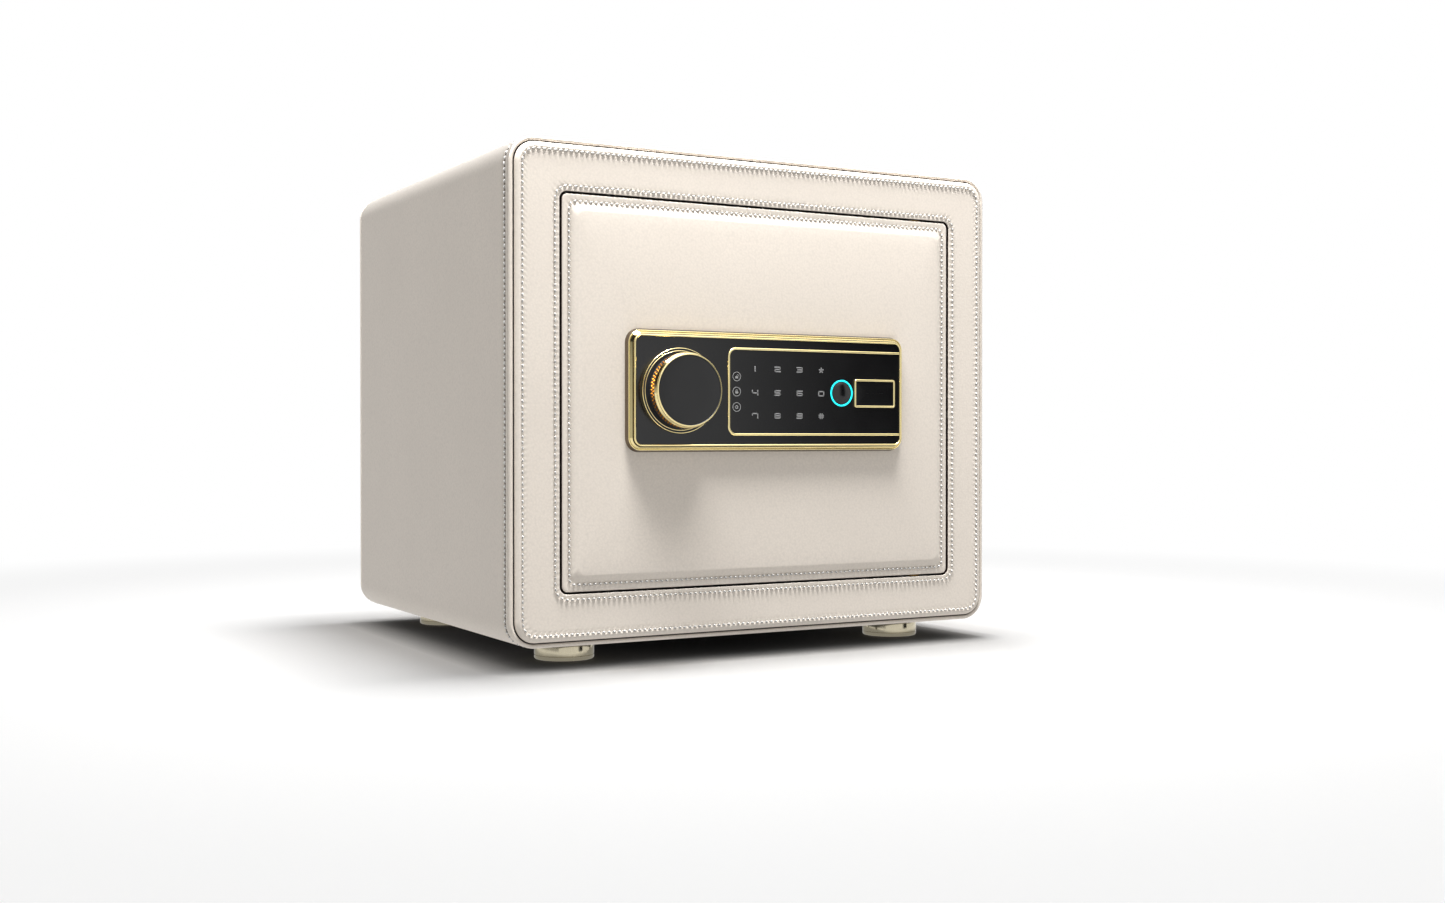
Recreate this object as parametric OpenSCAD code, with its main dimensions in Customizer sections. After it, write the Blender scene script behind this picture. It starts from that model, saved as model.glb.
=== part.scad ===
// Leather-clad in-room safe with a keypad lock, a turning knob and sliding door bolts.
// Sizes are in millimetres. The front faces -Y, +X is to the viewer's right and +Z is up.
// Inside the modules, x and z are measured from the centre of the body
// and y from the flat leather of the front; place() moves that frame onto the floor.

/* [Cabinet] */
// Outside width of the leather body
body_w = 348; // [330:1:420]
// Outside height of the leather body, without its feet
body_h = 301; // [290:1:380]
// Depth from the front leather to the back edge
body_d = 296; // [250:1:400]
// Radius of the long edges of the body
corner_r = 16; // [13:0.5:22]
// Thickness of the leather skin with its backing
leather_t = 2.4; // [1.6:0.2:3.2]
// Thickness of the steel walls and frames
steel_t = 3; // [2:0.5:4]
// Thickness of the padded leather panel around the door
panel_t = 3; // [2.4:0.2:4]
// Width of that panel, from the side of the body to the door opening
border_w = 31; // [28:0.5:40]
// Corner radius of the door opening
opening_r = 5; // [3:0.5:8]
// Depth of the steel return behind the door opening
jamb_d = 18; // [12:0.5:18]
// Thickness of the felt lining
lining_t = 2; // [1:0.5:4]
// Room between a skin and what it wraps
skin_gap = 0.1; // [0.05:0.05:0.3]

/* [Anchor holes] */
// Diameter of the holes for wall and floor anchors
anchor_d = 10; // [6:0.5:14]
// Distance between the two anchor holes of a pair
anchor_pitch = 150; // [80:1:180]

/* [Feet] */
// Diameter of a foot
foot_d = 37; // [30:0.5:44]
// Height of a foot with its pad
foot_h = 13; // [10:0.5:20]
// Thickness of the felt pad under a foot
foot_pad_t = 1; // [0.6:0.1:2]
// Width of the bevel around the lower end of a foot
foot_bevel = 1.8; // [1:0.1:3]
// Distance from the side of the body to the axis of a foot
foot_side = 51.3; // [30:0.1:80]
// Distance from the front leather to the axis of a front foot
foot_front = 40; // [28:0.5:70]
// Distance from the back edge to the axis of a rear foot
foot_back = 41; // [28:0.5:70]
// Shank diameter of a foot screw
foot_screw_d = 5; // [4:0.5:6]

/* [Door] */
// Gap around the door
door_gap = 1.5; // [1.4:0.1:2.4]
// Distance of the door's flat border behind the front leather
door_recess = 2; // [1.5:0.1:3]
// Thickness of the leather cover on the door
door_cover_t = 2; // [1.5:0.1:3]
// Thickness of the steel door plate
door_plate_t = 4; // [3:0.5:6]
// Height of the padded field above the door's border
pad_rise = 3; // [2:0.1:5]
// Width of the soft slope around the padded field
pad_slope = 5; // [3:0.1:5.5]
// Distance from the door's edge to the foot of that slope
pad_inset = 4.7; // [4:0.1:8]
// Corner radius at the foot of the slope
pad_r = 6; // [5.8:0.1:10]

/* [Hinge] */
// Distance from the door's edge to the hinge axis
hinge_inset = 22; // [21:0.5:30]
// Distance of the hinge axis behind the door's flat border
hinge_back = 7; // [6.8:0.1:7.2]
// Diameter of the hinge pins
hinge_pin_d = 5; // [4:0.2:5.2]
// Length of pin inside a hinge block
hinge_pin_in = 14; // [10:0.5:18]
// Height of a hinge block
hinge_block_h = 24; // [22:0.5:30]
// Width of a hinge block
hinge_block_w = 22; // [18:0.5:26]
// Height of the boss that holds a hinge pin in the cabinet
hinge_boss_h = 8; // [5:0.5:12]

/* [Lock panel] */
// Width of the black face
face_w = 193.2; // [190:0.1:205]
// Height of the black face
face_h = 65.2; // [64:0.1:75]
// Corner radius of the black face
face_r = 4; // [3:0.1:8]
// Thickness of the black face
face_t = 1.5; // [1:0.1:2]
// Distance of the black face in front of the front leather
face_out = 7.4; // [7:0.1:9]
// Height of the lock panel's centre above the door's centre
lock_up = 2.2; // [0:0.1:6]
// Width of the metal surround
bezel_w = 5.4; // [4.5:0.1:7]
// Distance of the surround's inner lip in front of the black face
bezel_lip = 0.9; // [0.5:0.1:1.5]
// Wall of the lock housing
base_wall = 2; // [1.5:0.1:2.4]
// Width of the raised line around the keypad
trim_w = 1.5; // [1:0.1:2]
// Height of the raised line above the black face
trim_rise = 0.5; // [0.3:0.1:0.8]
// Distance from the left end of the black face to the upright of that line
trim_in = 64.3; // [62:0.1:66]
// Distance between the two level runs of that line
trim_h = 53.4; // [52:0.1:56]
// Corner radius of that line
trim_r = 5; // [3:0.1:8]
// Distance from the right end of the black face to the fingerprint reader's centre
finger_in = 45.3; // [44.6:0.1:48]
// Diameter of the fingerprint reader
finger_d = 14; // [12:0.1:14.2]
// Outside diameter of the lit ring around it
ring_d = 17; // [16.6:0.1:18]
// Width of the lit ring
ring_w = 1; // [0.8:0.1:1.2]

/* [Knob] */
// Distance from the left end of the black face to the knob's axis
knob_in = 29.6; // [28:0.1:32]
// Diameter of the gripped band
knob_d = 46; // [45:0.1:48]
// Diameter at the front rim
knob_rim_d = 44.9; // [44.4:0.1:45]
// Diameter of the black disc in the front
knob_cap_d = 42; // [38:0.1:42.5]
// Height of the knob's front above the black face
knob_h = 14; // [12:0.1:18]
// Diameter of the fixed ring under the knob
knob_ring_d = 52.4; // [50:0.1:54]
// Thickness of that ring
knob_ring_t = 2; // [1.5:0.1:2.5]
// Diameter of the spindle
spindle_d = 8; // [6:0.5:9]

/* [Bolts] */
// Diameter of a locking bolt
bolt_d = 16; // [12:0.5:16]
// Travel of the locking bolts
bolt_throw = 18; // [16:0.1:18.4]
// Distance from the inner cover's upper and lower edges to the bolts' axes
bolt_in = 37; // [34:0.5:40]
// Distance that a drawn-back bolt stands out of the inner cover
bolt_out = 1; // [0.5:0.1:2]
// Distance of the bolts' axis behind the front leather
bolt_y = 34; // [33.5:0.1:35]
// Thickness of the sliding bar
bar_t = 3; // [2.5:0.1:3.5]
// Width of the sliding bar
bar_w = 40; // [38:0.5:42]
// Diameter of the fixed bars on the hinge side
dog_d = 14; // [10:0.5:14]
// Distance that a fixed bar reaches behind the door opening's edge
dog_reach = 7; // [4:0.5:11]

/* [Lock works] */
// Diameter of the key cylinder
key_d = 16; // [14:0.5:17]
// Diameter of the turning key plug
plug_d = 9; // [8:0.5:10]
// Distance from the right end of the black face to the key cylinder's axis
key_in = 19.85; // [18:0.05:21]
// Width of the plate over the key hole
key_cover_w = 31.9; // [28:0.1:32]
// Height of the plate over the key hole
key_cover_h = 18.3; // [18:0.1:24]
// Thickness of the plate over the key hole
key_cover_t = 1; // [0.8:0.1:1.4]
// Diameter of the solenoid's plunger
plunger_d = 8; // [6:0.5:8]
// Travel of the solenoid's plunger
plunger_drop = 10; // [9.6:0.1:10.4]
// Room between the drawn-up plunger and the sliding bar
plunger_gap = 7.5; // [7.4:0.1:8]

/* [Inner cover] */
// Distance from the sides of the door opening to the cover on the inside of the door
cover_in = 9; // [9:0.5:12]
// Depth of that cover
cover_d = 40; // [39:0.5:42]
// Wall of that cover
cover_t = 1.5; // [1.2:0.1:2]
// Diameter of a battery cell
cell_d = 14.2; // [13:0.1:14.4]
// Length of a battery cell
cell_l = 50; // [44:0.5:51]
// Number of battery cells
cell_n = 4; // [2:1:4]
// Shank diameter of a cover screw
cover_screw_d = 3.9; // [3:0.1:4.5]
// Diameter of the reset button
reset_d = 8; // [6:0.5:10]
// Travel of the reset button
reset_travel = 1.5; // [1:0.1:1.9]

/* [Fits] */
// Radial clearance of turning and sliding fits
run_fit = 0.05; // [0.02:0.01:0.1]
// Clearance of a piece set into a hole of its own shape
set_fit = 0.1; // [0.05:0.05:0.2]

/* [Hidden] */
$fn = 64;
cut = 1;

// Steel box inside the leather
shell_w = body_w - 2 * (leather_t + skin_gap);
shell_h = body_h - 2 * (leather_t + skin_gap);
shell_r = corner_r - leather_t - skin_gap;
cavity_w = shell_w - 2 * steel_t;
cavity_h = shell_h - 2 * steel_t;
cavity_r = shell_r - steel_t;
shell_y0 = panel_t + steel_t;
back_y = body_d - leather_t;
shell_y1 = back_y - steel_t;
lining_y1 = shell_y1 - lining_t;
pipe_r = leather_t / 2;
pipe_y = panel_t;
wrap_y0 = pipe_y + pipe_r + 2 * skin_gap;

// Door opening and door leaf
opening_w = body_w - 2 * border_w;
opening_h = body_h - 2 * border_w;
door_w = opening_w - 2 * door_gap;
door_h = opening_h - 2 * door_gap;
door_r = opening_r - door_gap;
plate_y0 = door_recess + door_cover_t;
plate_y1 = plate_y0 + door_plate_t;
pad_y0 = door_recess - pad_rise;

// Hinge
hinge_x = door_w / 2 - hinge_inset;
hinge_y = door_recess + hinge_back;
hinge_pin_r = hinge_pin_d / 2;
hinge_wall = 3.5;
hinge_block_d = hinge_y - plate_y0 + hinge_pin_r + hinge_wall;
hinge_boss_y1 = hinge_y + hinge_pin_r + hinge_wall;
hinge_boss_w = 16;
washer_wall = 2.5;
washer_d = hinge_pin_d + 2 * washer_wall;

// Lock panel, from its black face backwards
face_y = -face_out;
knob_x = face_w / 2 - knob_in;
key_x = face_w / 2 - key_in;
finger_x = face_w / 2 - finger_in;
trim_left = face_w / 2 - trim_in;
base_y0 = face_y + face_t;
base_floor_y = plate_y0 - base_wall;
lip_w = 1;
lip_gap = 0.5;
bezel_step = 0.6;
bezel_bevel = 0.9;
band_x = (lip_w + lip_gap + bezel_w - bezel_bevel) / 2;
band_r = (bezel_w - bezel_bevel - lip_w - lip_gap) / 2 / cos(30);
band_sink = 0.9;
band_rise = 1.4;
board_t = 1.6;
board_y = base_y0 + board_t;
board_gap = 2.3;
board_edge = 1.7;
board_x0 = -trim_left + board_gap;
board_x1 = finger_x + finger_d / 2 + board_edge;
board_h = 48;
board_post_d = 4;
board_post_in = 4;
boss_wall = 2.5;
spindle_boss_d = spindle_d + 2 * boss_wall;
key_boss_d = key_d + 2 * boss_wall;
finger_rise = 0.1;
ring_rise = 0.3;
key_peg_d = 2;
key_peg_l = face_t;
key_peg_x = 12.5;
key_cover_r = 1.5;
key_frame_w = 1.3;
key_frame_rise = 0.3;

// Knob and its cam
ring_front = face_y - knob_ring_t;
ring_bevel = 0.8;
knob_gap = 0.4;
knob_under = ring_front - knob_gap;
knob_front = face_y - knob_h;
knob_neck_h = 1.4;
knob_undercut = 3;
knob_neck_r = knob_d / 2 - knob_undercut;
knob_rim_l = 2.4;
knob_cap_t = 0.8;
knob_cap_set = 0.2;
knob_pocket = knob_front + knob_cap_set + knob_cap_t;
spindle_r = spindle_d / 2;
spindle_set = 1;
spindle_front = knob_pocket + spindle_set;
cam_t = 4;
cam_gap = 1.5;
bar_y0 = bolt_y - bar_t / 2;
bar_y1 = bolt_y + bar_t / 2;
cam_y1 = bar_y0 - cam_gap;
cam_y0 = cam_y1 - cam_t;
cam_pin_d = 6;
cam_pin_r = bolt_throw / sqrt(2);
cam_rim = 2;
cam_r = cam_pin_r + cam_pin_d / 2 + cam_rim;
bush_wall = 2;
bush_flange = 3;
bush_flange_t = 2;
bush_out = 6;
bush_l = door_plate_t + bush_out;

// Sliding bar, bolts and their guides
bar_shift = 5;
bar_x0 = -knob_x - bar_w / 2 + bar_shift;
bar_x1 = bar_x0 + bar_w;
bar_end = 11;
bar_tab_t = 3;
bar_tab_rim = 2;
bar_tab_h = bolt_d + 2 * bar_tab_rim;
bolt_stud_d = bolt_d / 2;
cover_w = opening_w - 2 * cover_in;
cover_foot = 2;
cover_h = door_h - 2 * (hinge_block_h + cover_foot);
bolt_tip = cover_w / 2 + bolt_out;
bolt_z = cover_h / 2 - bolt_in;
bar_h = 2 * (bolt_z + bar_end);
slot_play = 0.8;
pin_slot_w = cam_pin_d + 2 * slot_play;
pin_slot_x = -knob_x + bolt_throw / 2;
pin_slot_z0 = bolt_throw / 2 - cam_pin_d / 2 - slot_play;
pin_slot_z1 = cam_pin_r + cam_pin_d / 2 + slot_play;
post_d = 6;
post_head_d = 10;
post_head_t = 2.5;
post_play = 0.3;
post_drop = 19;
post_z = bolt_z - post_drop;
post_edge = 7;
post_x = bar_x0 + post_edge;
post_gap = 0.5;
post_y1 = bar_y1 + post_gap;
guide_w = 12;
guide_in = 6;
guide_x = -cover_w / 2 + guide_in;
guide_wall = 3;
guide_h = bolt_d + 2 * guide_wall;
dog_block_w = 16;
dog_rim = 2;
dog_block_h = dog_d + 2 * dog_rim;
dog_in = 30;
dog_x = cover_w / 2 - dog_in;
dog_tip = opening_w / 2 + dog_reach;

// Solenoid
plunger_r = plunger_d / 2;
tongue_h = 10;
tongue_l = 22;
tongue_top = -20;
tongue_x1 = bar_x1 + tongue_l;
tongue_clear = 1;
plunger_x = tongue_x1 - bolt_throw * plunger_gap / plunger_drop + plunger_r + tongue_clear;
plunger_z0 = tongue_top + plunger_gap;
coil_w = 20;
coil_clear = 4.5;
coil_z0 = plunger_z0 + coil_clear;
coil_h = 34;
plunger_l = 32;
bracket_t = 2;

// Key lock
plug_r = plug_d / 2;
key_set = 0.4;
key_y0 = face_y + key_set;
key_l = 32;
key_y1 = key_y0 + key_l;
plug_out = 1;
plug_y1 = key_y1 + plug_out;
key_cam_t = 2;
key_arm = 22;
key_arm_w = 8;
key_nut_wall = 4.5;
key_nut_d = key_d + 2 * key_nut_wall;
key_nut_t = 4;
key_slot_w = 1.6;
key_slot_h = 6.5;
key_slot_d = 12;
key_hub = 1.5;

// Inner cover and what it holds
cover_r = 6;
cover_y1 = plate_y1 + cover_d;
cover_back = cover_y1 - cover_t;
cover_hole = 0.4;
screw_in = 10;
screw_x = cover_w / 2 - screw_in;
screw_z = cover_h / 2 - screw_in;
cover_post_wall = 2;
cover_post_d = cover_screw_d + 2 * cover_post_wall;
cover_screw_l = 14;
screw_head_d = cover_screw_d * 1.8;
screw_head_t = 2.2;
cell_room = 1.3;
cell_pitch = cell_d + cell_room;
tray_wall = 1.5;
contact_room = 7;
tray_w = cell_n * cell_pitch + contact_room + 2 * tray_wall;
tray_h = cell_l + contact_room + 2 * tray_wall;
tray_d = cell_d + cell_room + tray_wall;
tray_in = 74;
tray_up = 47;
tray_x = cover_w / 2 - tray_in;
tray_z = tray_up - cover_h / 2;
tray_y0 = cover_back - tray_d;
bay_rim = 3;
bay_w = tray_w - 2 * bay_rim;
bay_h = tray_h - 2 * bay_rim;
lid_t = 2;
lid_lap = 1;
lid_w = tray_w + 2 * lid_lap;
lid_h = tray_h;
lid_slide = 55;
lid_gap = 0.2;
rail_w = 2.6;
rail_lip = 3;
rail_lip_t = 2;
ridge_w = 30;
ridge_h = 3;
ridge_rise = 1.8;
reset_in = 10;
reset_out = 2;
control_x0 = 0;
control_w = 80;
control_up = 17.8;
control_z0 = lock_up + control_up;
control_h = 50;
reset_in_x = 12;
reset_in_z = 40;
reset_x = control_x0 + reset_in_x;
reset_z = control_z0 + reset_in_z;
standoff_l = 10;
control_y0 = plate_y1 + standoff_l;
control_y1 = control_y0 + board_t;
standoff_d = 5;
standoff_in = 5;
switch_w = 8;
switch_gap = 2;
cable_x0 = 4;
cable_w = 16;
cable_in = 1;
cable_z0 = control_z0 + cable_in;
cable_t = 1.2;
cable_room = 1;
buzzer_d = 12;
buzzer_h = 6;
buzzer_x = control_x0 + control_w * 3 / 4;
buzzer_z = control_z0 + control_h * 0.7;

// Feet
foot_x = body_w / 2 - foot_side;
foot_ys = [foot_front, body_d - foot_back];
foot_screw_r = foot_screw_d / 2;
foot_head_d = foot_screw_d * 1.9;
foot_head_t = foot_screw_d * 0.7;
foot_floor = 4;
foot_z0 = -body_h / 2 - foot_h;

// The whole reaches from the knob's front to the back edge
front_y = (-knob_front - body_d) / 2;
centre_z = foot_h + body_h / 2;

leather = "#E6DCCF";
steel = "#8D9196";
dark_steel = "#4A4D52";
gold = "#C9A25C";
black = "#1B1B1C";
felt = "#3A3634";

// Shared shapes
module place() {
  translate([0, front_y, centre_z]) children();
}

module box(x0, x1, y0, y1, z0, z1) {
  translate([x0, y0, z0]) cube([x1 - x0, y1 - y0, z1 - z0]);
}

module rod_x(r, x0, x1, y, z) {
  translate([x0, y, z]) rotate([0, 90, 0]) cylinder(r = r, h = x1 - x0);
}

module rod_y(r, y0, y1, x, z) {
  translate([x, y1, z]) rotate([90, 0, 0]) cylinder(r = r, h = y1 - y0);
}

module rod_z(r, z0, z1, x, y) {
  translate([x, y, z0]) cylinder(r = r, h = z1 - z0);
}

module round_rect(w, h, r) {
  square([w - 2 * r, h], center = true);
  square([w, h - 2 * r], center = true);
  for (sx = [-1, 1], sz = [-1, 1])
    translate([sx * (w / 2 - r), sz * (h / 2 - r)]) circle(r);
}

// A rounded rectangle seen from the front, from y0 back to y1
module slab(w, h, r, y0, y1, x = 0, z = 0) {
  translate([x, y1, z]) rotate([90, 0, 0]) linear_extrude(y1 - y0) round_rect(w, h, r);
}

// A profile led around a rounded rectangle: its x is the distance outwards, its y the depth
module frame_sweep(w, h, r) {
  rotate([-90, 0, 0]) for (k = [0:3]) {
    sx = (k == 0 || k == 3) ? 1 : -1;
    sz = (k < 2) ? 1 : -1;
    run = (k % 2 == 0) ? h - 2 * r : w - 2 * r;
    reach = (k % 2 == 0) ? w / 2 : h / 2;
    translate([sx * (w / 2 - r), sz * (h / 2 - r), 0])
      rotate([0, 0, 90 * k]) rotate_extrude(angle = 90) translate([r, 0]) children();
    rotate([0, 0, 90 * k]) translate([reach, run / 2, 0])
      rotate([90, 0, 0]) linear_extrude(run) children();
  }
}

// A turned shape about an axis that runs to the back, from a profile of radius and depth
module turned(x, z) {
  translate([x, 0, z]) rotate([-90, 0, 0]) rotate_extrude() children();
}

module anchor_holes_back() {
  for (sx = [-1, 1])
    rod_y(anchor_d / 2, lining_y1 - cut, body_d + cut, sx * anchor_pitch / 2, 0);
}

module anchor_holes_floor() {
  for (sx = [-1, 1])
    rod_z(anchor_d / 2, -body_h / 2 - cut, -cavity_h / 2 + cut, sx * anchor_pitch / 2, body_d / 2);
}

module each_foot() {
  for (sx = [-1, 1], y = foot_ys) translate([sx * foot_x, y, 0]) children();
}

module foot_screw_holes() {
  each_foot() rod_z(foot_screw_r + set_fit, -body_h / 2 - cut, -cavity_h / 2 + cut, 0, 0);
}

module lock_cutout() {
  slab(face_w + 2 * set_fit, face_h + 2 * set_fit, face_r + set_fit, pad_y0 - cut, plate_y0 + cut,
       0, lock_up);
}

module cable_cutout(y0, y1) {
  box(cable_x0 - cable_room, cable_x0 + cable_w + cable_room, y0, y1, cable_z0 - cable_room,
      cable_z0 + cable_t + cable_room);
}

// Cabinet
module steel_shell() {
  color(steel) place() difference() {
    slab(shell_w, shell_h, shell_r, shell_y0, shell_y1);
    slab(cavity_w, cavity_h, cavity_r, shell_y0 - cut, shell_y1 + cut);
    anchor_holes_floor();
    foot_screw_holes();
  }
}

module back_plate() {
  color(steel) place() difference() {
    slab(shell_w, shell_h, shell_r, shell_y1, back_y);
    anchor_holes_back();
  }
}

module back_cover() {
  color(leather) place() difference() {
    slab(body_w, body_h, corner_r, back_y, body_d);
    anchor_holes_back();
  }
}

module leather_wrap() {
  color(leather) place() difference() {
    slab(body_w, body_h, corner_r, wrap_y0, back_y);
    slab(body_w - 2 * leather_t, body_h - 2 * leather_t, corner_r - leather_t, wrap_y0 - cut,
         back_y + cut);
    anchor_holes_floor();
    foot_screw_holes();
  }
}

module edge_piping() {
  color(leather) place()
    frame_sweep(body_w - 2 * pipe_r, body_h - 2 * pipe_r, corner_r - pipe_r)
      translate([0, pipe_y]) circle(pipe_r);
}

module front_frame() {
  color(steel) place() difference() {
    slab(shell_w, shell_h, shell_r, panel_t, shell_y0);
    slab(opening_w, opening_h, opening_r, panel_t - cut, shell_y0 + cut);
  }
}

module door_jamb() {
  color(steel) place() difference() {
    slab(opening_w + 2 * steel_t, opening_h + 2 * steel_t, opening_r + steel_t, shell_y0,
         shell_y0 + jamb_d);
    slab(opening_w, opening_h, opening_r, shell_y0 - cut, shell_y0 + jamb_d + cut);
    for (sz = [-1, 1]) translate([0, 0, sz * (opening_h + steel_t) / 2])
      rod_z(hinge_pin_r + run_fit, -steel_t, steel_t, hinge_x, hinge_y);
  }
}

module front_panel() {
  color(leather) place() difference() {
    union() {
      slab(shell_w - 2 * panel_t, shell_h - 2 * panel_t, shell_r - panel_t, 0, panel_t);
      frame_sweep(shell_w, shell_h, shell_r) intersection() {
        translate([-panel_t, panel_t]) circle(panel_t);
        translate([-panel_t, 0]) square(panel_t);
      }
    }
    slab(opening_w, opening_h, opening_r, -cut, panel_t + cut);
  }
}

module lining_level(z0, z1) {
  reach = cavity_w / 2 - cavity_r;
  box(-reach, reach, shell_y0, lining_y1, z0, z1);
}

module lining_upright(x0, x1) {
  reach = cavity_h / 2 - cavity_r;
  box(x0, x1, shell_y0, lining_y1, -reach, reach);
}

// The floor's lining is a loose mat over the anchor holes
module lining_floor() {
  color(felt) place() lining_level(-cavity_h / 2, -cavity_h / 2 + lining_t);
}

module lining_roof() {
  color(felt) place() lining_level(cavity_h / 2 - lining_t, cavity_h / 2);
}

module lining_left() {
  color(felt) place() lining_upright(-cavity_w / 2, -cavity_w / 2 + lining_t);
}

module lining_right() {
  color(felt) place() lining_upright(cavity_w / 2 - lining_t, cavity_w / 2);
}

module lining_back() {
  color(felt) place() difference() {
    slab(cavity_w - 2 * set_fit, cavity_h - 2 * set_fit, cavity_r, lining_y1, shell_y1);
    anchor_holes_back();
  }
}

module feet() {
  color(gold) place() each_foot() difference() {
    translate([0, 0, foot_z0 + foot_pad_t]) rotate_extrude() polygon([
      [0, 0],
      [foot_d / 2 - foot_bevel, 0],
      [foot_d / 2, foot_bevel],
      [foot_d / 2, foot_h - foot_pad_t],
      [0, foot_h - foot_pad_t]
    ]);
    rod_z(foot_screw_r + set_fit, foot_z0, -body_h / 2 + cut, 0, 0);
    rod_z(foot_head_d / 2 + set_fit, foot_z0, -body_h / 2 - foot_floor, 0, 0);
  }
}

module foot_screws() {
  head_z1 = -body_h / 2 - foot_floor;
  color(dark_steel) place() each_foot() {
    rod_z(foot_screw_r, head_z1 - foot_head_t / 2, -cavity_h / 2, 0, 0);
    rod_z(foot_head_d / 2, head_z1 - foot_head_t, head_z1, 0, 0);
  }
}

module foot_pads() {
  color(felt) place() each_foot()
    rod_z(foot_d / 2 - 2 * foot_bevel, foot_z0, foot_z0 + foot_pad_t, 0, 0);
}

module hinge_pins() {
  z0 = door_h / 2 - hinge_pin_in;
  z1 = opening_h / 2 + steel_t + hinge_boss_h;
  color(steel) place() {
    rod_z(hinge_pin_r, z0, z1, hinge_x, hinge_y);
    rod_z(hinge_pin_r, -z1, -z0, hinge_x, hinge_y);
  }
}

module hinge_boss(z0) {
  difference() {
    box(hinge_x - hinge_boss_w / 2, hinge_x + hinge_boss_w / 2, shell_y0, hinge_boss_y1, z0,
        z0 + hinge_boss_h);
    rod_z(hinge_pin_r + run_fit, z0 - cut, z0 + hinge_boss_h + cut, hinge_x, hinge_y);
  }
}

module hinge_bosses() {
  z0 = opening_h / 2 + steel_t;
  color(steel) place() {
    hinge_boss(z0);
    hinge_boss(-z0 - hinge_boss_h);
  }
}

module hinge_washer(z0) {
  difference() {
    rod_z(washer_d / 2, z0, z0 + door_gap - 2 * run_fit, hinge_x, hinge_y);
    rod_z(hinge_pin_r + run_fit, z0 - cut, z0 + door_gap + cut, hinge_x, hinge_y);
  }
}

module hinge_washers() {
  color(gold) place() {
    hinge_washer(door_h / 2 + run_fit);
    hinge_washer(-opening_h / 2 + run_fit);
  }
}

// Door
module hinge_notch(z0, z1) {
  reach = hinge_block_w / 2 + set_fit;
  box(hinge_x - reach, hinge_x + reach, plate_y0 - cut, plate_y1 + cut, z0, z1);
}

module door_plate() {
  notch_z = door_h / 2 - hinge_block_h - set_fit;
  color(steel) place() difference() {
    slab(door_w, door_h, door_r, plate_y0, plate_y1);
    hinge_notch(notch_z, door_h / 2 + cut);
    hinge_notch(-door_h / 2 - cut, -notch_z);
    rod_y(spindle_r + run_fit + bush_wall + set_fit, plate_y0 - cut, plate_y1 + cut, -knob_x, lock_up);
    rod_y(key_d / 2 + set_fit, plate_y0 - cut, plate_y1 + cut, key_x, lock_up);
    cable_cutout(plate_y0 - cut, plate_y1 + cut);
  }
}

module door_cover() {
  color(leather) place() difference() {
    slab(door_w, door_h, door_r, door_recess, plate_y0);
    lock_cutout();
  }
}

module door_pad() {
  pad_w = door_w - 2 * pad_inset;
  pad_h = door_h - 2 * pad_inset;
  color(leather) place() difference() {
    union() {
      slab(pad_w - 2 * pad_slope, pad_h - 2 * pad_slope, pad_r - pad_slope, pad_y0, door_recess);
      frame_sweep(pad_w, pad_h, pad_r) polygon([
        [-pad_slope, pad_y0],
        [-pad_slope * 0.55, pad_y0 + pad_rise * 0.12],
        [-pad_slope * 0.2, pad_y0 + pad_rise * 0.5],
        [0, door_recess],
        [-pad_slope, door_recess]
      ]);
    }
    lock_cutout();
  }
}

module hinge_block(z0, bore_z0) {
  difference() {
    box(hinge_x - hinge_block_w / 2, hinge_x + hinge_block_w / 2, plate_y0, plate_y0 + hinge_block_d,
        z0, z0 + hinge_block_h);
    rod_z(hinge_pin_r + run_fit, bore_z0, bore_z0 + hinge_pin_in + 2 * cut, hinge_x, hinge_y);
  }
}

module hinge_blocks() {
  z1 = door_h / 2;
  color(dark_steel) place() {
    hinge_block(z1 - hinge_block_h, z1 - hinge_pin_in - cut);
    hinge_block(-z1, -z1 - cut);
  }
}

module board_posts() {
  for (sx = [0, 1], sz = [-1, 1])
    rod_y(board_post_d / 2, board_y + board_t, base_floor_y + base_wall / 2,
          board_x0 + board_post_in + sx * (board_x1 - board_x0 - 2 * board_post_in),
          lock_up + sz * (board_h / 2 - board_post_in));
}

module lock_base() {
  color(black) place() difference() {
    union() {
      difference() {
        slab(face_w, face_h, face_r, base_y0, plate_y0, 0, lock_up);
        slab(face_w - 2 * base_wall, face_h - 2 * base_wall, face_r - base_wall, base_y0 - cut,
             base_floor_y, 0, lock_up);
      }
      rod_y(spindle_boss_d / 2, base_y0, base_floor_y + base_wall / 2, -knob_x, lock_up);
      rod_y(key_boss_d / 2, base_y0, base_floor_y + base_wall / 2, key_x, lock_up);
      board_posts();
    }
    rod_y(spindle_r + 2 * set_fit, base_y0 - cut, plate_y0 + cut, -knob_x, lock_up);
    rod_y(key_d / 2 + set_fit, base_y0 - cut, plate_y0 + cut, key_x, lock_up);
    for (sx = [-1, 1])
      rod_y(key_peg_d / 2 + run_fit, base_y0 - cut, base_y0 + cut, key_x + sx * key_peg_x, lock_up);
    cable_cutout(base_floor_y - cut, plate_y0 + cut);
  }
}

// Profile of the surround: an inner lip, a step, a rounded band and an outer wall
module lock_bezel() {
  lip_y = face_y - bezel_lip;
  color(gold) place() translate([0, 0, lock_up]) frame_sweep(face_w, face_h, face_r) polygon(concat(
    [[set_fit, pad_y0], [set_fit, lip_y], [lip_w, lip_y], [lip_w, face_y + bezel_step],
     [lip_w + lip_gap, face_y + bezel_step]],
    [for (a = [150:-20:30])
      [band_x + band_r * cos(a), face_y + band_sink - band_rise * sin(a)]],
    [[bezel_w - bezel_bevel, face_y + bezel_step + bezel_bevel],
     [bezel_w, face_y + bezel_step + 2 * bezel_bevel],
     [bezel_w, pad_y0]]
  ));
}

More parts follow.
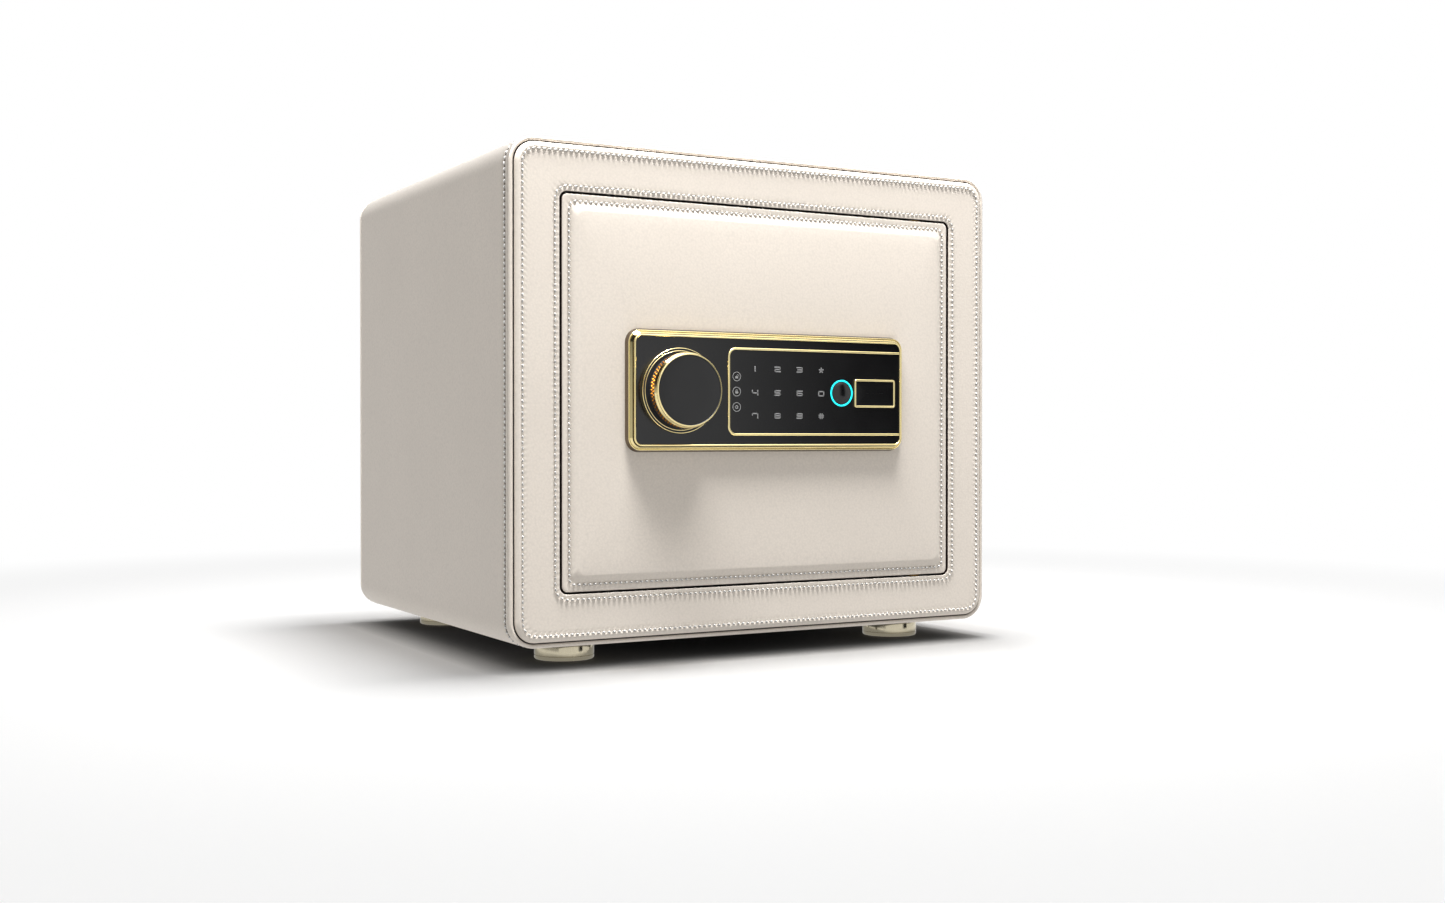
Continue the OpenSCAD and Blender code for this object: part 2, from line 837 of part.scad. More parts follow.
module face_plate() {
  color(black) place() difference() {
    slab(face_w, face_h, face_r, face_y, base_y0, 0, lock_up);
    rod_y(spindle_r + 2 * set_fit, face_y - cut, base_y0 + cut, -knob_x, lock_up);
    rod_y(key_d / 2 + set_fit, face_y - cut, base_y0 + cut, key_x, lock_up);
    rod_y(finger_d / 2 + set_fit, face_y - cut, base_y0 + cut, finger_x, lock_up);
    for (sx = [-1, 1])
      rod_y(key_peg_d / 2 + run_fit, face_y - cut, base_y0 + cut, key_x + sx * key_peg_x, lock_up);
  }
}

module keypad_trim() {
  run = 2 * face_w;
  outer_h = trim_h + trim_w;
  color(gold) place() difference() {
    slab(run, outer_h, trim_r + trim_w / 2, face_y - trim_rise, face_y,
         run / 2 - trim_left - trim_w / 2, lock_up);
    slab(run, trim_h - trim_w, trim_r - trim_w / 2, face_y - trim_rise - cut, face_y + cut,
         run / 2 - trim_left + trim_w / 2, lock_up);
    box(face_w / 2, 2 * run, face_y - trim_rise - cut, face_y + cut, -outer_h, outer_h);
  }
}

module keypad_board() {
  color("#1F5B3A") place()
    box(board_x0, board_x1, board_y, board_y + board_t, lock_up - board_h / 2, lock_up + board_h / 2);
}

module fingerprint_sensor() {
  color(black) place() rod_y(finger_d / 2, face_y - finger_rise, board_y, finger_x, lock_up);
}

module fingerprint_ring() {
  color("#10F5FF") place() difference() {
    rod_y(ring_d / 2, face_y - ring_rise, face_y, finger_x, lock_up);
    rod_y(ring_d / 2 - ring_w, face_y - ring_rise - cut, face_y + cut, finger_x, lock_up);
  }
}

module knob_ring() {
  color(gold) place() turned(-knob_x, lock_up) polygon([
    [spindle_r + 2 * set_fit, ring_front],
    [knob_ring_d / 2 - ring_bevel, ring_front],
    [knob_ring_d / 2, ring_front + ring_bevel],
    [knob_ring_d / 2, face_y],
    [spindle_r + 2 * set_fit, face_y]
  ]);
}

module spindle_bush() {
  inner = spindle_r + run_fit;
  outer = inner + bush_wall;
  color("#B08D57") place() turned(-knob_x, lock_up) polygon([
    [inner, plate_y0],
    [outer, plate_y0],
    [outer, plate_y1],
    [outer + bush_flange, plate_y1],
    [outer + bush_flange, plate_y1 + bush_flange_t],
    [outer, plate_y1 + bush_flange_t],
    [outer, plate_y0 + bush_l],
    [inner, plate_y0 + bush_l]
  ]);
}

module bolt_guides() {
  color(dark_steel) place() for (sz = [-1, 1]) difference() {
    box(guide_x, guide_x + guide_w, plate_y1, bolt_y + guide_h / 2, sz * bolt_z - guide_h / 2,
        sz * bolt_z + guide_h / 2);
    rod_x(bolt_d / 2 + run_fit, guide_x - cut, guide_x + guide_w + cut, bolt_y, sz * bolt_z);
  }
}

module guide_posts() {
  color(steel) place() for (sz = [-1, 1]) {
    rod_y(post_d / 2, plate_y1, post_y1 + post_head_t / 2, post_x, sz * post_z);
    rod_y(post_head_d / 2, post_y1, post_y1 + post_head_t, post_x, sz * post_z);
  }
}

module fixed_bolts() {
  color(steel) place() for (sz = [-1, 1]) {
    rod_x(dog_d / 2, dog_x, dog_tip, bolt_y, sz * bolt_z);
    box(dog_x, dog_x + dog_block_w, plate_y1, bolt_y, sz * bolt_z - dog_block_h / 2,
        sz * bolt_z + dog_block_h / 2);
  }
}

module lid_rail(side) {
  x_in = lid_w / 2 + set_fit;
  rail_y1 = cover_y1 + lid_gap + lid_t + set_fit;
  translate([tray_x, 0, 0]) mirror([side < 0 ? 1 : 0, 0, 0]) {
    box(x_in, x_in + rail_w, cover_y1, rail_y1 + rail_lip_t, tray_z - lid_h / 2,
        tray_z + lid_h / 2 + lid_slide);
    box(x_in - rail_lip, x_in + rail_w, rail_y1, rail_y1 + rail_lip_t, tray_z - lid_h / 2,
        tray_z + lid_h / 2 + lid_slide);
  }
}

module inner_cover() {
  color("#2B2C2E") place() difference() {
    union() {
      difference() {
        slab(cover_w, cover_h, cover_r, plate_y1, cover_y1);
        slab(cover_w - 2 * cover_t, cover_h - 2 * cover_t, cover_r - cover_t, plate_y1 - cut,
             cover_back);
      }
      lid_rail(-1);
      lid_rail(1);
      box(tray_x - lid_w / 2 - rail_w, tray_x + lid_w / 2 + rail_w, cover_y1, cover_y1 + lid_t,
          tray_z - lid_h / 2 - rail_w, tray_z - lid_h / 2);
    }
    for (sz = [-1, 1]) {
      rod_x(bolt_d / 2 + cover_hole, -cover_w / 2 - cut, -cover_w / 2 + cover_t + cut, bolt_y,
            sz * bolt_z);
      rod_x(dog_d / 2 + cover_hole, cover_w / 2 - cover_t - cut, cover_w / 2 + cut, bolt_y,
            sz * bolt_z);
    }
    for (sx = [-1, 1], sz = [-1, 1])
      rod_y(cover_screw_d / 2 + set_fit, cover_back - cut, cover_y1 + cut, sx * screw_x, sz * screw_z);
    box(tray_x - bay_w / 2, tray_x + bay_w / 2, cover_back - cut, cover_y1 + cut, tray_z - bay_h / 2,
        tray_z + bay_h / 2);
    rod_y(reset_d / 2 + run_fit, cover_back - cut, cover_y1 + cut, reset_x, reset_z);
  }
}

module cover_posts() {
  color(steel) place() for (sx = [-1, 1], sz = [-1, 1]) difference() {
    rod_y(cover_post_d / 2, plate_y1, cover_back, sx * screw_x, sz * screw_z);
    rod_y(cover_screw_d / 2 + set_fit, cover_back - cover_screw_l, cover_back + cut, sx * screw_x,
          sz * screw_z);
  }
}

module cover_screws() {
  color(dark_steel) place() for (sx = [-1, 1], sz = [-1, 1]) {
    rod_y(cover_screw_d / 2, cover_y1 - cover_screw_l, cover_y1 + screw_head_t / 2, sx * screw_x,
          sz * screw_z);
    rod_y(screw_head_d / 2, cover_y1, cover_y1 + screw_head_t, sx * screw_x, sz * screw_z);
  }
}

module solenoid_coil() {
  color("#A5522D") place() difference() {
    box(plunger_x - coil_w / 2, plunger_x + coil_w / 2, bolt_y - coil_w / 2, bolt_y + coil_w / 2,
        coil_z0, coil_z0 + coil_h);
    rod_z(plunger_r + run_fit, coil_z0 - cut, coil_z0 + coil_h - bracket_t, plunger_x, bolt_y);
  }
}

module solenoid_bracket() {
  y1 = bolt_y - coil_w / 2;
  color(steel) place() difference() {
    box(plunger_x - coil_w / 2, plunger_x + coil_w / 2, plate_y1, y1, coil_z0, coil_z0 + coil_h);
    box(plunger_x - coil_w / 2 - cut, plunger_x + coil_w / 2 + cut, plate_y1 + bracket_t,
        y1 - bracket_t, coil_z0 + bracket_t, coil_z0 + coil_h + cut);
  }
}

module control_board() {
  switch_y1 = cover_y1 + reset_out - reset_in - switch_gap;
  color("#1F5B3A") place() {
    box(control_x0, control_x0 + control_w, control_y0, control_y1, control_z0,
        control_z0 + control_h);
    box(reset_x - switch_w / 2, reset_x + switch_w / 2, control_y0, switch_y1,
        reset_z - switch_w / 2, reset_z + switch_w / 2);
  }
}

module board_standoffs() {
  color(gold) place() for (sx = [0, 1], sz = [0, 1])
    rod_y(standoff_d / 2, plate_y1, control_y0,
          control_x0 + standoff_in + sx * (control_w - 2 * standoff_in),
          control_z0 + standoff_in + sz * (control_h - 2 * standoff_in));
}

module ribbon_cable() {
  color("#8F8F8F") place()
    box(cable_x0, cable_x0 + cable_w, board_y + board_t, control_y0, cable_z0, cable_z0 + cable_t);
}

module buzzer() {
  color(black) place() rod_y(buzzer_d / 2, control_y1, control_y1 + buzzer_h, buzzer_x, buzzer_z);
}

module battery_holder() {
  color("#2B2C2E") place() difference() {
    box(tray_x - tray_w / 2, tray_x + tray_w / 2, tray_y0, cover_back, tray_z - tray_h / 2,
        tray_z + tray_h / 2);
    box(tray_x - tray_w / 2 + tray_wall, tray_x + tray_w / 2 - tray_wall, tray_y0 + tray_wall,
        cover_back + cut, tray_z - tray_h / 2 + tray_wall, tray_z + tray_h / 2 - tray_wall);
  }
}

module battery_cells() {
  color("#3F6FA8") place() for (i = [0:cell_n - 1])
    rod_z(cell_d / 2, tray_z - cell_l / 2, tray_z + cell_l / 2,
          tray_x + (i - (cell_n - 1) / 2) * cell_pitch, tray_y0 + tray_wall + cell_d / 2 + set_fit);
}

module key_cylinder() {
  color(steel) place() difference() {
    rod_y(key_d / 2, key_y0, key_y1, key_x, lock_up);
    rod_y(plug_r + run_fit, key_y0 - cut, key_y1 + cut, key_x, lock_up);
  }
}

module key_nut() {
  color(steel) place() difference() {
    rod_y(key_nut_d / 2, plate_y1, plate_y1 + key_nut_t, key_x, lock_up);
    rod_y(key_d / 2 + set_fit, plate_y1 - cut, plate_y1 + key_nut_t + cut, key_x, lock_up);
  }
}

// Knob, turning with its spindle and cam
module knob_grip() {
  bore = spindle_r + set_fit;
  color(gold) place() turned(-knob_x, lock_up) polygon([
    [bore, knob_under],
    [knob_neck_r, knob_under],
    [knob_neck_r, knob_under - knob_neck_h],
    [knob_d / 2, knob_under - knob_neck_h],
    [knob_d / 2, knob_front + knob_rim_l],
    [knob_rim_d / 2, knob_front],
    [knob_cap_d / 2 + set_fit, knob_front],
    [knob_cap_d / 2 + set_fit, knob_pocket],
    [bore, knob_pocket]
  ]);
}

module knob_cap() {
  color(black) place() rod_y(knob_cap_d / 2, knob_front + knob_cap_set, knob_pocket, -knob_x, lock_up);
}

module spindle() {
  color(steel) place() rod_y(spindle_r, spindle_front, cam_y1, -knob_x, lock_up);
}

module cam_plate() {
  color(dark_steel) place() {
    difference() {
      rod_y(cam_r, cam_y0, cam_y1, -knob_x, lock_up);
      rod_y(spindle_r + set_fit, cam_y0 - cut, cam_y1 + cut, -knob_x, lock_up);
    }
    rod_y(cam_pin_d / 2, cam_y1 - cam_t / 2, bar_y1 + cam_gap, -knob_x + bolt_throw / 2,
          lock_up + bolt_throw / 2);
  }
}

// Sliding bar with its bolts
module bolt_bar() {
  color(steel) place() difference() {
    union() {
      box(bar_x0, bar_x1, bar_y0, bar_y1, -bar_h / 2, bar_h / 2);
      box(bar_x1 - cut, tongue_x1, bar_y0, bar_y1, tongue_top - tongue_h, tongue_top);
      for (sz = [-1, 1])
        box(bar_x0, bar_x0 + bar_tab_t, bolt_y - bar_tab_h / 2, bolt_y + bar_tab_h / 2,
            sz * bolt_z - bar_tab_h / 2, sz * bolt_z + bar_tab_h / 2);
    }
    box(pin_slot_x - pin_slot_w / 2, pin_slot_x + pin_slot_w / 2, bar_y0 - cut, bar_y1 + cut,
        lock_up + pin_slot_z0, lock_up + pin_slot_z1);
    for (sz = [-1, 1]) {
      box(post_x - post_d / 2 - post_play, post_x + post_d / 2 + post_play + bolt_throw, bar_y0 - cut,
          bar_y1 + cut, sz * post_z - post_d / 2 - post_play, sz * post_z + post_d / 2 + post_play);
      rod_x(bolt_stud_d / 2 + set_fit, bar_x0 - cut, bar_x0 + bar_tab_t + 2 * cut, bolt_y, sz * bolt_z);
    }
  }
}

module locking_bolts() {
  color(steel) place() for (sz = [-1, 1]) {
    rod_x(bolt_d / 2, -bolt_tip, bar_x0, bolt_y, sz * bolt_z);
    rod_x(bolt_stud_d / 2, bar_x0 - cut, bar_x0 + bar_tab_t + cut, bolt_y, sz * bolt_z);
  }
}

module solenoid_plunger() {
  color(steel) place() rod_z(plunger_r, plunger_z0, plunger_z0 + plunger_l, plunger_x, bolt_y);
}

// Key lock
module key_plug() {
  color(gold) place() difference() {
    rod_y(plug_r, key_y0, plug_y1, key_x, lock_up);
    box(key_x - key_slot_w / 2, key_x + key_slot_w / 2, key_y0 - cut, key_y0 + key_slot_d,
        lock_up - key_slot_h / 2, lock_up + key_slot_h / 2);
  }
}

module key_cam() {
  color(steel) place() {
    rod_y(plug_r + key_hub, plug_y1, plug_y1 + key_cam_t, key_x, lock_up);
    box(key_x - key_arm_w / 2, key_x + key_arm_w / 2, plug_y1, plug_y1 + key_cam_t,
        lock_up - key_arm, lock_up);
  }
}

module key_cover() {
  color(gold) place() {
    difference() {
      slab(key_cover_w, key_cover_h, key_cover_r, face_y - key_cover_t - key_frame_rise, face_y, key_x,
           lock_up);
      slab(key_cover_w - 2 * key_frame_w, key_cover_h - 2 * key_frame_w, key_cover_r / 2,
           face_y - key_cover_t - key_frame_rise - cut, face_y - key_cover_t, key_x, lock_up);
    }
    for (sx = [-1, 1])
      rod_y(key_peg_d / 2, face_y - key_cover_t / 2, face_y + key_peg_l, key_x + sx * key_peg_x,
            lock_up);
  }
}

// Battery lid and reset button on the inside of the door
module battery_cover() {
  y0 = cover_y1 + lid_gap;
  color("#2B2C2E") place() {
    box(tray_x - lid_w / 2, tray_x + lid_w / 2, y0, y0 + lid_t, tray_z - lid_h / 2,
        tray_z + lid_h / 2);
    for (i = [0:2])
      box(tray_x - ridge_w / 2, tray_x + ridge_w / 2, y0 + lid_t / 2, y0 + lid_t + ridge_rise,
          tray_z + (i - 1) * 2 * ridge_h - ridge_h / 2, tray_z + (i - 1) * 2 * ridge_h + ridge_h / 2);
  }
}

module reset_button() {
  y1 = cover_y1 + reset_out;
  color("#B33A2E") place() rod_y(reset_d / 2, y1 - reset_in, y1, reset_x, reset_z);
}

steel_shell();
back_plate();
back_cover();
leather_wrap();
edge_piping();
front_frame();
door_jamb();
front_panel();
lining_floor();
lining_roof();
lining_left();
lining_right();
lining_back();
feet();
foot_screws();
foot_pads();
hinge_pins();
hinge_bosses();
hinge_washers();
door_plate();
door_cover();
door_pad();
hinge_blocks();
lock_base();
lock_bezel();
face_plate();
keypad_trim();
keypad_board();
fingerprint_sensor();
fingerprint_ring();
knob_ring();
spindle_bush();
bolt_guides();
guide_posts();
fixed_bolts();
inner_cover();
cover_posts();
cover_screws();
solenoid_coil();
solenoid_bracket();
control_board();
board_standoffs();
ribbon_cable();
buzzer();
battery_holder();
battery_cells();
key_cylinder();
key_nut();
knob_grip();
knob_cap();
spindle();
cam_plate();
bolt_bar();
locking_bolts();
solenoid_plunger();
key_plug();
key_cam();
key_cover();
battery_cover();
reset_button();
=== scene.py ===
"""Looks of a leather-clad in-room safe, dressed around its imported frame.

Lengths are metres in the part's own frame: the front faces -Y, +X is to the viewer's right and
+Z is up. A size that a maker would give in millimetres is written so and multiplied by MM.
"""

import math
from dataclasses import dataclass, replace

import bmesh
import bpy
import numpy as np
from bpy.props import FloatProperty, FloatVectorProperty, IntProperty, PointerProperty
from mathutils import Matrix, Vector


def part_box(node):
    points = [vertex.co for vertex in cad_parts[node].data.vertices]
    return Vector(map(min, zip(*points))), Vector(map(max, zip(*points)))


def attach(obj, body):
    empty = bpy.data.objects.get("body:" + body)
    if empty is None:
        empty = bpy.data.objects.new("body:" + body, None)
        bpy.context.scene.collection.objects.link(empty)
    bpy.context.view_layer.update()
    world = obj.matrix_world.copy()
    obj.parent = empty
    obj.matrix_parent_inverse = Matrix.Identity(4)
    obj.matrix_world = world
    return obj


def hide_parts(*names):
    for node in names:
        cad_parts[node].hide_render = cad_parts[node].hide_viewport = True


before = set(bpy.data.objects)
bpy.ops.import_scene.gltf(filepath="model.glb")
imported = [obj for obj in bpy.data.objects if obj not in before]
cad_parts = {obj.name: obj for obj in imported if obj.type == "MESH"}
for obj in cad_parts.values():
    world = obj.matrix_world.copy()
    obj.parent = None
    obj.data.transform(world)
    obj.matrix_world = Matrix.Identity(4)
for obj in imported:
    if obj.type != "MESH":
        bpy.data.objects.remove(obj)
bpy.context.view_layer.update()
MM = 0.001

bl_info = {
    "name": "In-room safe looks",
    "version": (1, 0, 0),
    "blender": (4, 5, 0),
    "location": "View3D > Sidebar > Safe",
    "description": "Leather, stitching, lock panel, knob, feet and finishes of an in-room safe",
    "category": "Add Mesh",
}


# Colours and nodes

def linear(code):
    """Linear RGBA of an sRGB hex colour such as #C0FFEE."""
    channels = [int(code[k:k + 2], 16) / 255 for k in (1, 3, 5)]
    return (*[c / 12.92 if c <= 0.04045 else ((c + 0.055) / 1.055) ** 2.4 for c in channels], 1.0)


def add_node(tree, kind, inputs=None, **settings):
    """Adds a node with its settings; an input gets a value, a link or a link from a node's first output."""
    made = tree.nodes.new(kind)
    for name, value in settings.items():
        setattr(made, name, value)
    for name, value in (inputs or {}).items():
        if isinstance(value, bpy.types.Node):
            value = next(socket for socket in value.outputs if socket.enabled)
        if isinstance(value, bpy.types.NodeSocket):
            tree.links.new(value, made.inputs[name])
        else:
            made.inputs[name].default_value = value
    return made


# Sizes and colours that a user may change

class SafeLeather(bpy.types.PropertyGroup):
    """The leather skin and its seams."""

    colour: FloatVectorProperty(
        name="Leather", description="Colour of the leather", subtype="COLOR",
        default=linear("#E8DED2")[:3], min=0, max=1)
    thread: FloatVectorProperty(
        name="Thread", description="Colour of the sewing thread", subtype="COLOR",
        default=linear("#C4C2BE")[:3], min=0, max=1)
    grain: FloatProperty(
        name="Grain", description="Width of one pebble of the grain", subtype="DISTANCE",
        default=1.3 * MM)
    pitch: FloatProperty(
        name="Stitch pitch", description="Distance from one stitch to the next",
        subtype="DISTANCE", default=3.45 * MM)
    stitch: FloatProperty(
        name="Stitch length", description="Length of the thread that shows in one stitch",
        subtype="DISTANCE", default=2.55 * MM)
    thread_d: FloatProperty(
        name="Thread thickness", description="Thickness of the sewing thread",
        subtype="DISTANCE", default=1.3 * MM)
    seam_depth: FloatProperty(
        name="Seam depth", description="How deep a line of stitches is drawn into the leather",
        subtype="DISTANCE", default=0.35 * MM)
    pucker: FloatProperty(
        name="Pucker", description="Depth of the small creases beside the stitches",
        subtype="DISTANCE", default=0.2 * MM)


class SafeLock(bpy.types.PropertyGroup):
    """The lock panel and the knob."""

    polished: FloatVectorProperty(
        name="Polished gold", description="Colour of the bright edges, rims and rings", subtype="COLOR",
        default=linear("#F0DFA6")[:3], min=0, max=1)
    amber: FloatVectorProperty(
        name="Knurled band", description="Colour of the knob's gripped band", subtype="COLOR",
        default=linear("#B06F22")[:3], min=0, max=1)
    glow: FloatVectorProperty(
        name="Lit ring", description="Colour of the ring around the fingerprint reader",
        subtype="COLOR", default=linear("#12EAF2")[:3], min=0, max=1)
    digit: FloatProperty(
        name="Digit height", description="Height of a keypad digit", subtype="DISTANCE",
        default=3.5 * MM)
    knurls: IntProperty(
        name="Knurls", description="Number of knurls in one row around the knob", default=66)
    knurl: FloatProperty(
        name="Knurl height", description="Height of one knurl", subtype="DISTANCE",
        default=0.9 * MM)


class SafeStage(bpy.types.PropertyGroup):
    """The camera and the studio light."""

    camera: FloatVectorProperty(
        name="Camera", description="Place of the camera", subtype="TRANSLATION",
        default=(-0.525, -1.010, 0.1376))
    heading: FloatProperty(
        name="Heading", description="How far the camera is turned to the right", subtype="ANGLE",
        default=math.radians(29.427))
    pitch: FloatProperty(
        name="Pitch", description="How far the camera looks up", subtype="ANGLE",
        default=math.radians(-0.5265))
    lens: FloatProperty(
        name="Lens", description="Focal length on a sensor 36 mm wide", subtype="DISTANCE_CAMERA",
        default=40.0)
    key: FloatProperty(
        name="Key light", description="Power of the soft light above the front", subtype="POWER",
        default=52.0)
    rim: FloatProperty(
        name="Side light", description="Power of the strip that rakes the front from the right",
        subtype="POWER", default=2.5)
    fill: FloatProperty(
        name="Left fill", description="Power of the soft light on the left side", subtype="POWER",
        default=0.2)
    top: FloatProperty(
        name="Top light", description="Power of the soft light overhead", subtype="POWER",
        default=17.0)
    sky: FloatProperty(
        name="Ambient", description="Strength of the light from overhead and all round", default=0.42)
    bounce: FloatProperty(
        name="Bounce", description="Strength of the light that comes back up from the floor", default=0.82)


# Outlines and meshes

@dataclass(frozen=True)
class Outline:
    """A rounded rectangle seen from the front."""

    half_w: float
    half_h: float
    radius: float
    mid_x: float = 0.0
    mid_z: float = 0.0

    def inset(self, distance, radius):
        """The same rectangle drawn in all round, with a corner radius of its own."""
        return replace(
            self, half_w=self.half_w - distance, half_h=self.half_h - distance, radius=radius)


def outline_of(node, radius):
    """The outline of a frame node's box, seen from the front."""
    low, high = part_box(node)
    half, middle = (high - low) / 2, (high + low) / 2
    return Outline(half.x, half.z, radius, middle.x, middle.z)


def trace(outline, counts):
    """Points along an outline; the counts are those of a level run, an upright run and a corner."""
    level, upright, corner = counts
    reach = np.array((outline.half_w, outline.half_h)) - outline.radius
    corners = np.array(((1, 1), (-1, 1), (-1, -1), (1, -1))) * reach + (outline.mid_x, outline.mid_z)
    parts = []
    for k in range(4):
        turn = np.pi / 2 * (k + np.linspace(0, 1, corner + 1))
        round_part = outline.radius * np.stack((np.cos(turn), np.sin(turn)), 1)
        start, stop = corners[k] + round_part[-1], corners[(k + 1) % 4] + round_part[-1]
        run = upright if k % 2 else level
        share = np.arange(1, run)[:, None] / run
        parts += [corners[k] + round_part, start + share * (stop - start)]
    return np.concatenate(parts)


def ring(outline, counts, depth):
    """An outline's points in space, at one depth or at a depth for each point."""
    flat = trace(outline, counts)
    return np.stack((flat[:, 0], np.broadcast_to(depth, len(flat)), flat[:, 1]), 1)


def loft_faces(rings, around, closed):
    """Quads between neighbouring rings; a closed loft joins its last ring to its first."""
    here = np.arange(around)
    ahead = np.roll(here, -1)
    quads = []
    for k in range(rings if closed else rings - 1):
        base, over = k * around, (k + 1) % rings * around
        quads.append(np.stack((base + here, base + ahead, over + ahead, over + here), 1))
    return np.concatenate(quads)


def solid(name, shells, finishes, sharp=40):
    """A mesh object from closed shells, each of points, faces and the finish number of each face."""
    points, faces, paints = [], [], []
    for shell_points, shell_faces, shell_paints in shells:
        start = len(points)
        points += np.asarray(shell_points, float).tolist()
        faces += [[start + i for i in face] for face in shell_faces]
        paints += shell_paints
    mesh = bpy.data.meshes.new(name)
    mesh.from_pydata(points, [], faces)
    for finish in finishes:
        mesh.materials.append(FINISHES[finish])
    mesh.polygons.foreach_set("material_index", paints)
    tidy = bmesh.new()
    tidy.from_mesh(mesh)
    bmesh.ops.remove_doubles(tidy, verts=tidy.verts, dist=1e-7)
    bmesh.ops.recalc_face_normals(tidy, faces=tidy.faces)
    tidy.to_mesh(mesh)
    tidy.free()
    mesh.shade_smooth()
    mesh.set_sharp_from_angle(angle=math.radians(sharp))
    made = bpy.data.objects.new(name, mesh)
    bpy.context.scene.collection.objects.link(made)
    return made


def loft(rings, paints=None, closed=True):
    """A shell led through rings of equally many points; paints give a finish number for each step."""
    around = len(rings[0])
    faces = loft_faces(len(rings), around, closed).tolist()
    steps = len(faces) // around
    painted = [one for one in paints or [0] * steps for _ in range(around)]
    if not closed:
        last = (len(rings) - 1) * around
        faces += [list(range(around)), list(range(last, last + around))]
        painted += [0, 0]
    return np.concatenate(rings), faces, painted


def lathe(profile, middle, axis="Y", around=96, paints=None):
    """A shell turned from a profile of radius and place along an axis through a middle."""
    turn = np.arange(around) / around * 2 * np.pi
    rings = []
    for radius, along in profile:
        a, b = radius * np.cos(turn), radius * np.sin(turn)
        c = np.full(around, along)
        placed = (middle[0] + a, c, middle[2] + b) if axis == "Y" else (middle[0] + a, middle[1] + b, c)
        rings.append(np.stack(placed, 1))
    return loft(rings, paints)


def bar(start, stop, width, front, back):
    """A thin straight bar between two points of a flat face, as a shell."""
    a, b = np.array(start), np.array(stop)
    along = (b - a) / np.linalg.norm(b - a)
    side = np.array((-along[1], along[0])) * width / 2
    flat = [a + side, b + side, b - side, a - side]
    points = [(x, y, z) for y in (front, back) for x, z in flat]
    faces = [[0, 1, 2, 3], [7, 6, 5, 4]] + [[k, (k + 1) % 4, 4 + (k + 1) % 4, 4 + k] for k in range(4)]
    return points, faces, [0] * 6


def arc(middle, radius, start, stop, steps):
    """Points of an arc or of an elliptic one, with angles in degrees."""
    turn = np.radians(np.linspace(start, stop, steps + 1))
    reach = np.broadcast_to(radius, 2)
    return [(middle[0] + reach[0] * math.cos(t), middle[1] + reach[1] * math.sin(t)) for t in turn]


def bell(distance, width):
    """A smooth bump of height 1."""
    return np.exp(-(np.asarray(distance) / width) ** 2)


def place_on(piece, body, slot, *nodes):
    """Lets a finished piece ride on its body and stand for its nodes, which it hides; the slot is not used.
    """
    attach(piece, body)
    if nodes:
        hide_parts(*nodes)
    return piece


# Materials

def new_material(name, **constants):
    """A material with one shader, whose constants are set on the shader's own sockets."""
    material = bpy.data.materials.new(name)
    material.use_nodes = True
    tree = material.node_tree
    shader = tree.nodes["Principled BSDF"]
    for socket, value in constants.items():
        shader.inputs[socket.replace("_", " ")].default_value = value
    return material, tree, shader


def grained(name, light, dark, grain, rough, bump, stretch=(1, 1, 1), **constants):
    """A finish whose colour, gloss and surface vary together over a grain of a real size."""
    material, tree, shader = new_material(name, **constants)
    where = add_node(tree, "ShaderNodeTexCoord").outputs["Object"]
    turned = add_node(tree, "ShaderNodeMapping", {"Vector": where, "Scale": stretch})
    height = add_node(tree, "ShaderNodeTexNoise", {"Vector": turned, "Scale": 1 / grain, "Detail": 3.0})
    blend = add_node(
        tree, "ShaderNodeMix", {"Factor": height, "A": dark, "B": light}, data_type="RGBA")
    gloss = add_node(
        tree, "ShaderNodeMapRange", {"Value": height, "To Min": rough[0], "To Max": rough[1]})
    relief = add_node(
        tree, "ShaderNodeBump", {"Height": height, "Strength": 0.5, "Distance": bump})
    tree.links.new(blend.outputs["Result"], shader.inputs["Base Color"])
    tree.links.new(gloss.outputs["Result"], shader.inputs["Roughness"])
    tree.links.new(relief.outputs["Normal"], shader.inputs["Normal"])
    return material


def shade(colour, factor):
    """A darker or lighter colour of the same hue, as RGBA."""
    return (*[min(1.0, c * factor) for c in colour[:3]], 1.0)


def pebbled_leather():
    """Pigmented cowhide, drum-milled: a fine pebble grain under a soft, broad sheen."""
    props = bpy.context.scene.safe_leather
    material, tree, skin = new_material(
        "pebbled_cowhide", IOR=1.46, Specular_IOR_Level=0.42, Sheen_Weight=0.08)
    where = add_node(tree, "ShaderNodeTexCoord").outputs["Object"]
    pebbles = add_node(
        tree, "ShaderNodeTexVoronoi", {"Vector": where, "Scale": 1 / props.grain}, feature="SMOOTH_F1")
    pores = add_node(
        tree, "ShaderNodeTexNoise", {"Vector": where, "Scale": 3 / props.grain, "Detail": 2.0})
    mottle = add_node(
        tree, "ShaderNodeTexNoise", {"Vector": where, "Scale": 1 / (60 * MM), "Detail": 4.0})
    height = add_node(
        tree, "ShaderNodeMix",
        {"Factor": 0.3, "A": pebbles, "B": pores})
    relief = add_node(
        tree, "ShaderNodeBump",
        {"Height": height, "Strength": 0.35, "Distance": 0.12 * MM}, invert=True)
    hide = add_node(
        tree, "ShaderNodeMix",
        {"Factor": mottle, "A": shade(props.colour, 0.93), "B": shade(props.colour, 1.04)}, data_type="RGBA")
    # Painted shade: the hide is darker towards the edge of each pebble, as shade in the crevices of the grain
    hide_with_painted_crevice_shade = add_node(
        tree, "ShaderNodeMix", {"Factor": pebbles, "A": hide, "B": shade(props.colour, 0.86)},
        data_type="RGBA")
    gloss = add_node(tree, "ShaderNodeMapRange", {"Value": pores, "To Min": 0.44, "To Max": 0.56})
    tree.links.new(hide_with_painted_crevice_shade.outputs["Result"], skin.inputs["Base Color"])
    tree.links.new(gloss.outputs["Result"], skin.inputs["Roughness"])
    tree.links.new(relief.outputs["Normal"], skin.inputs["Normal"])
    return material


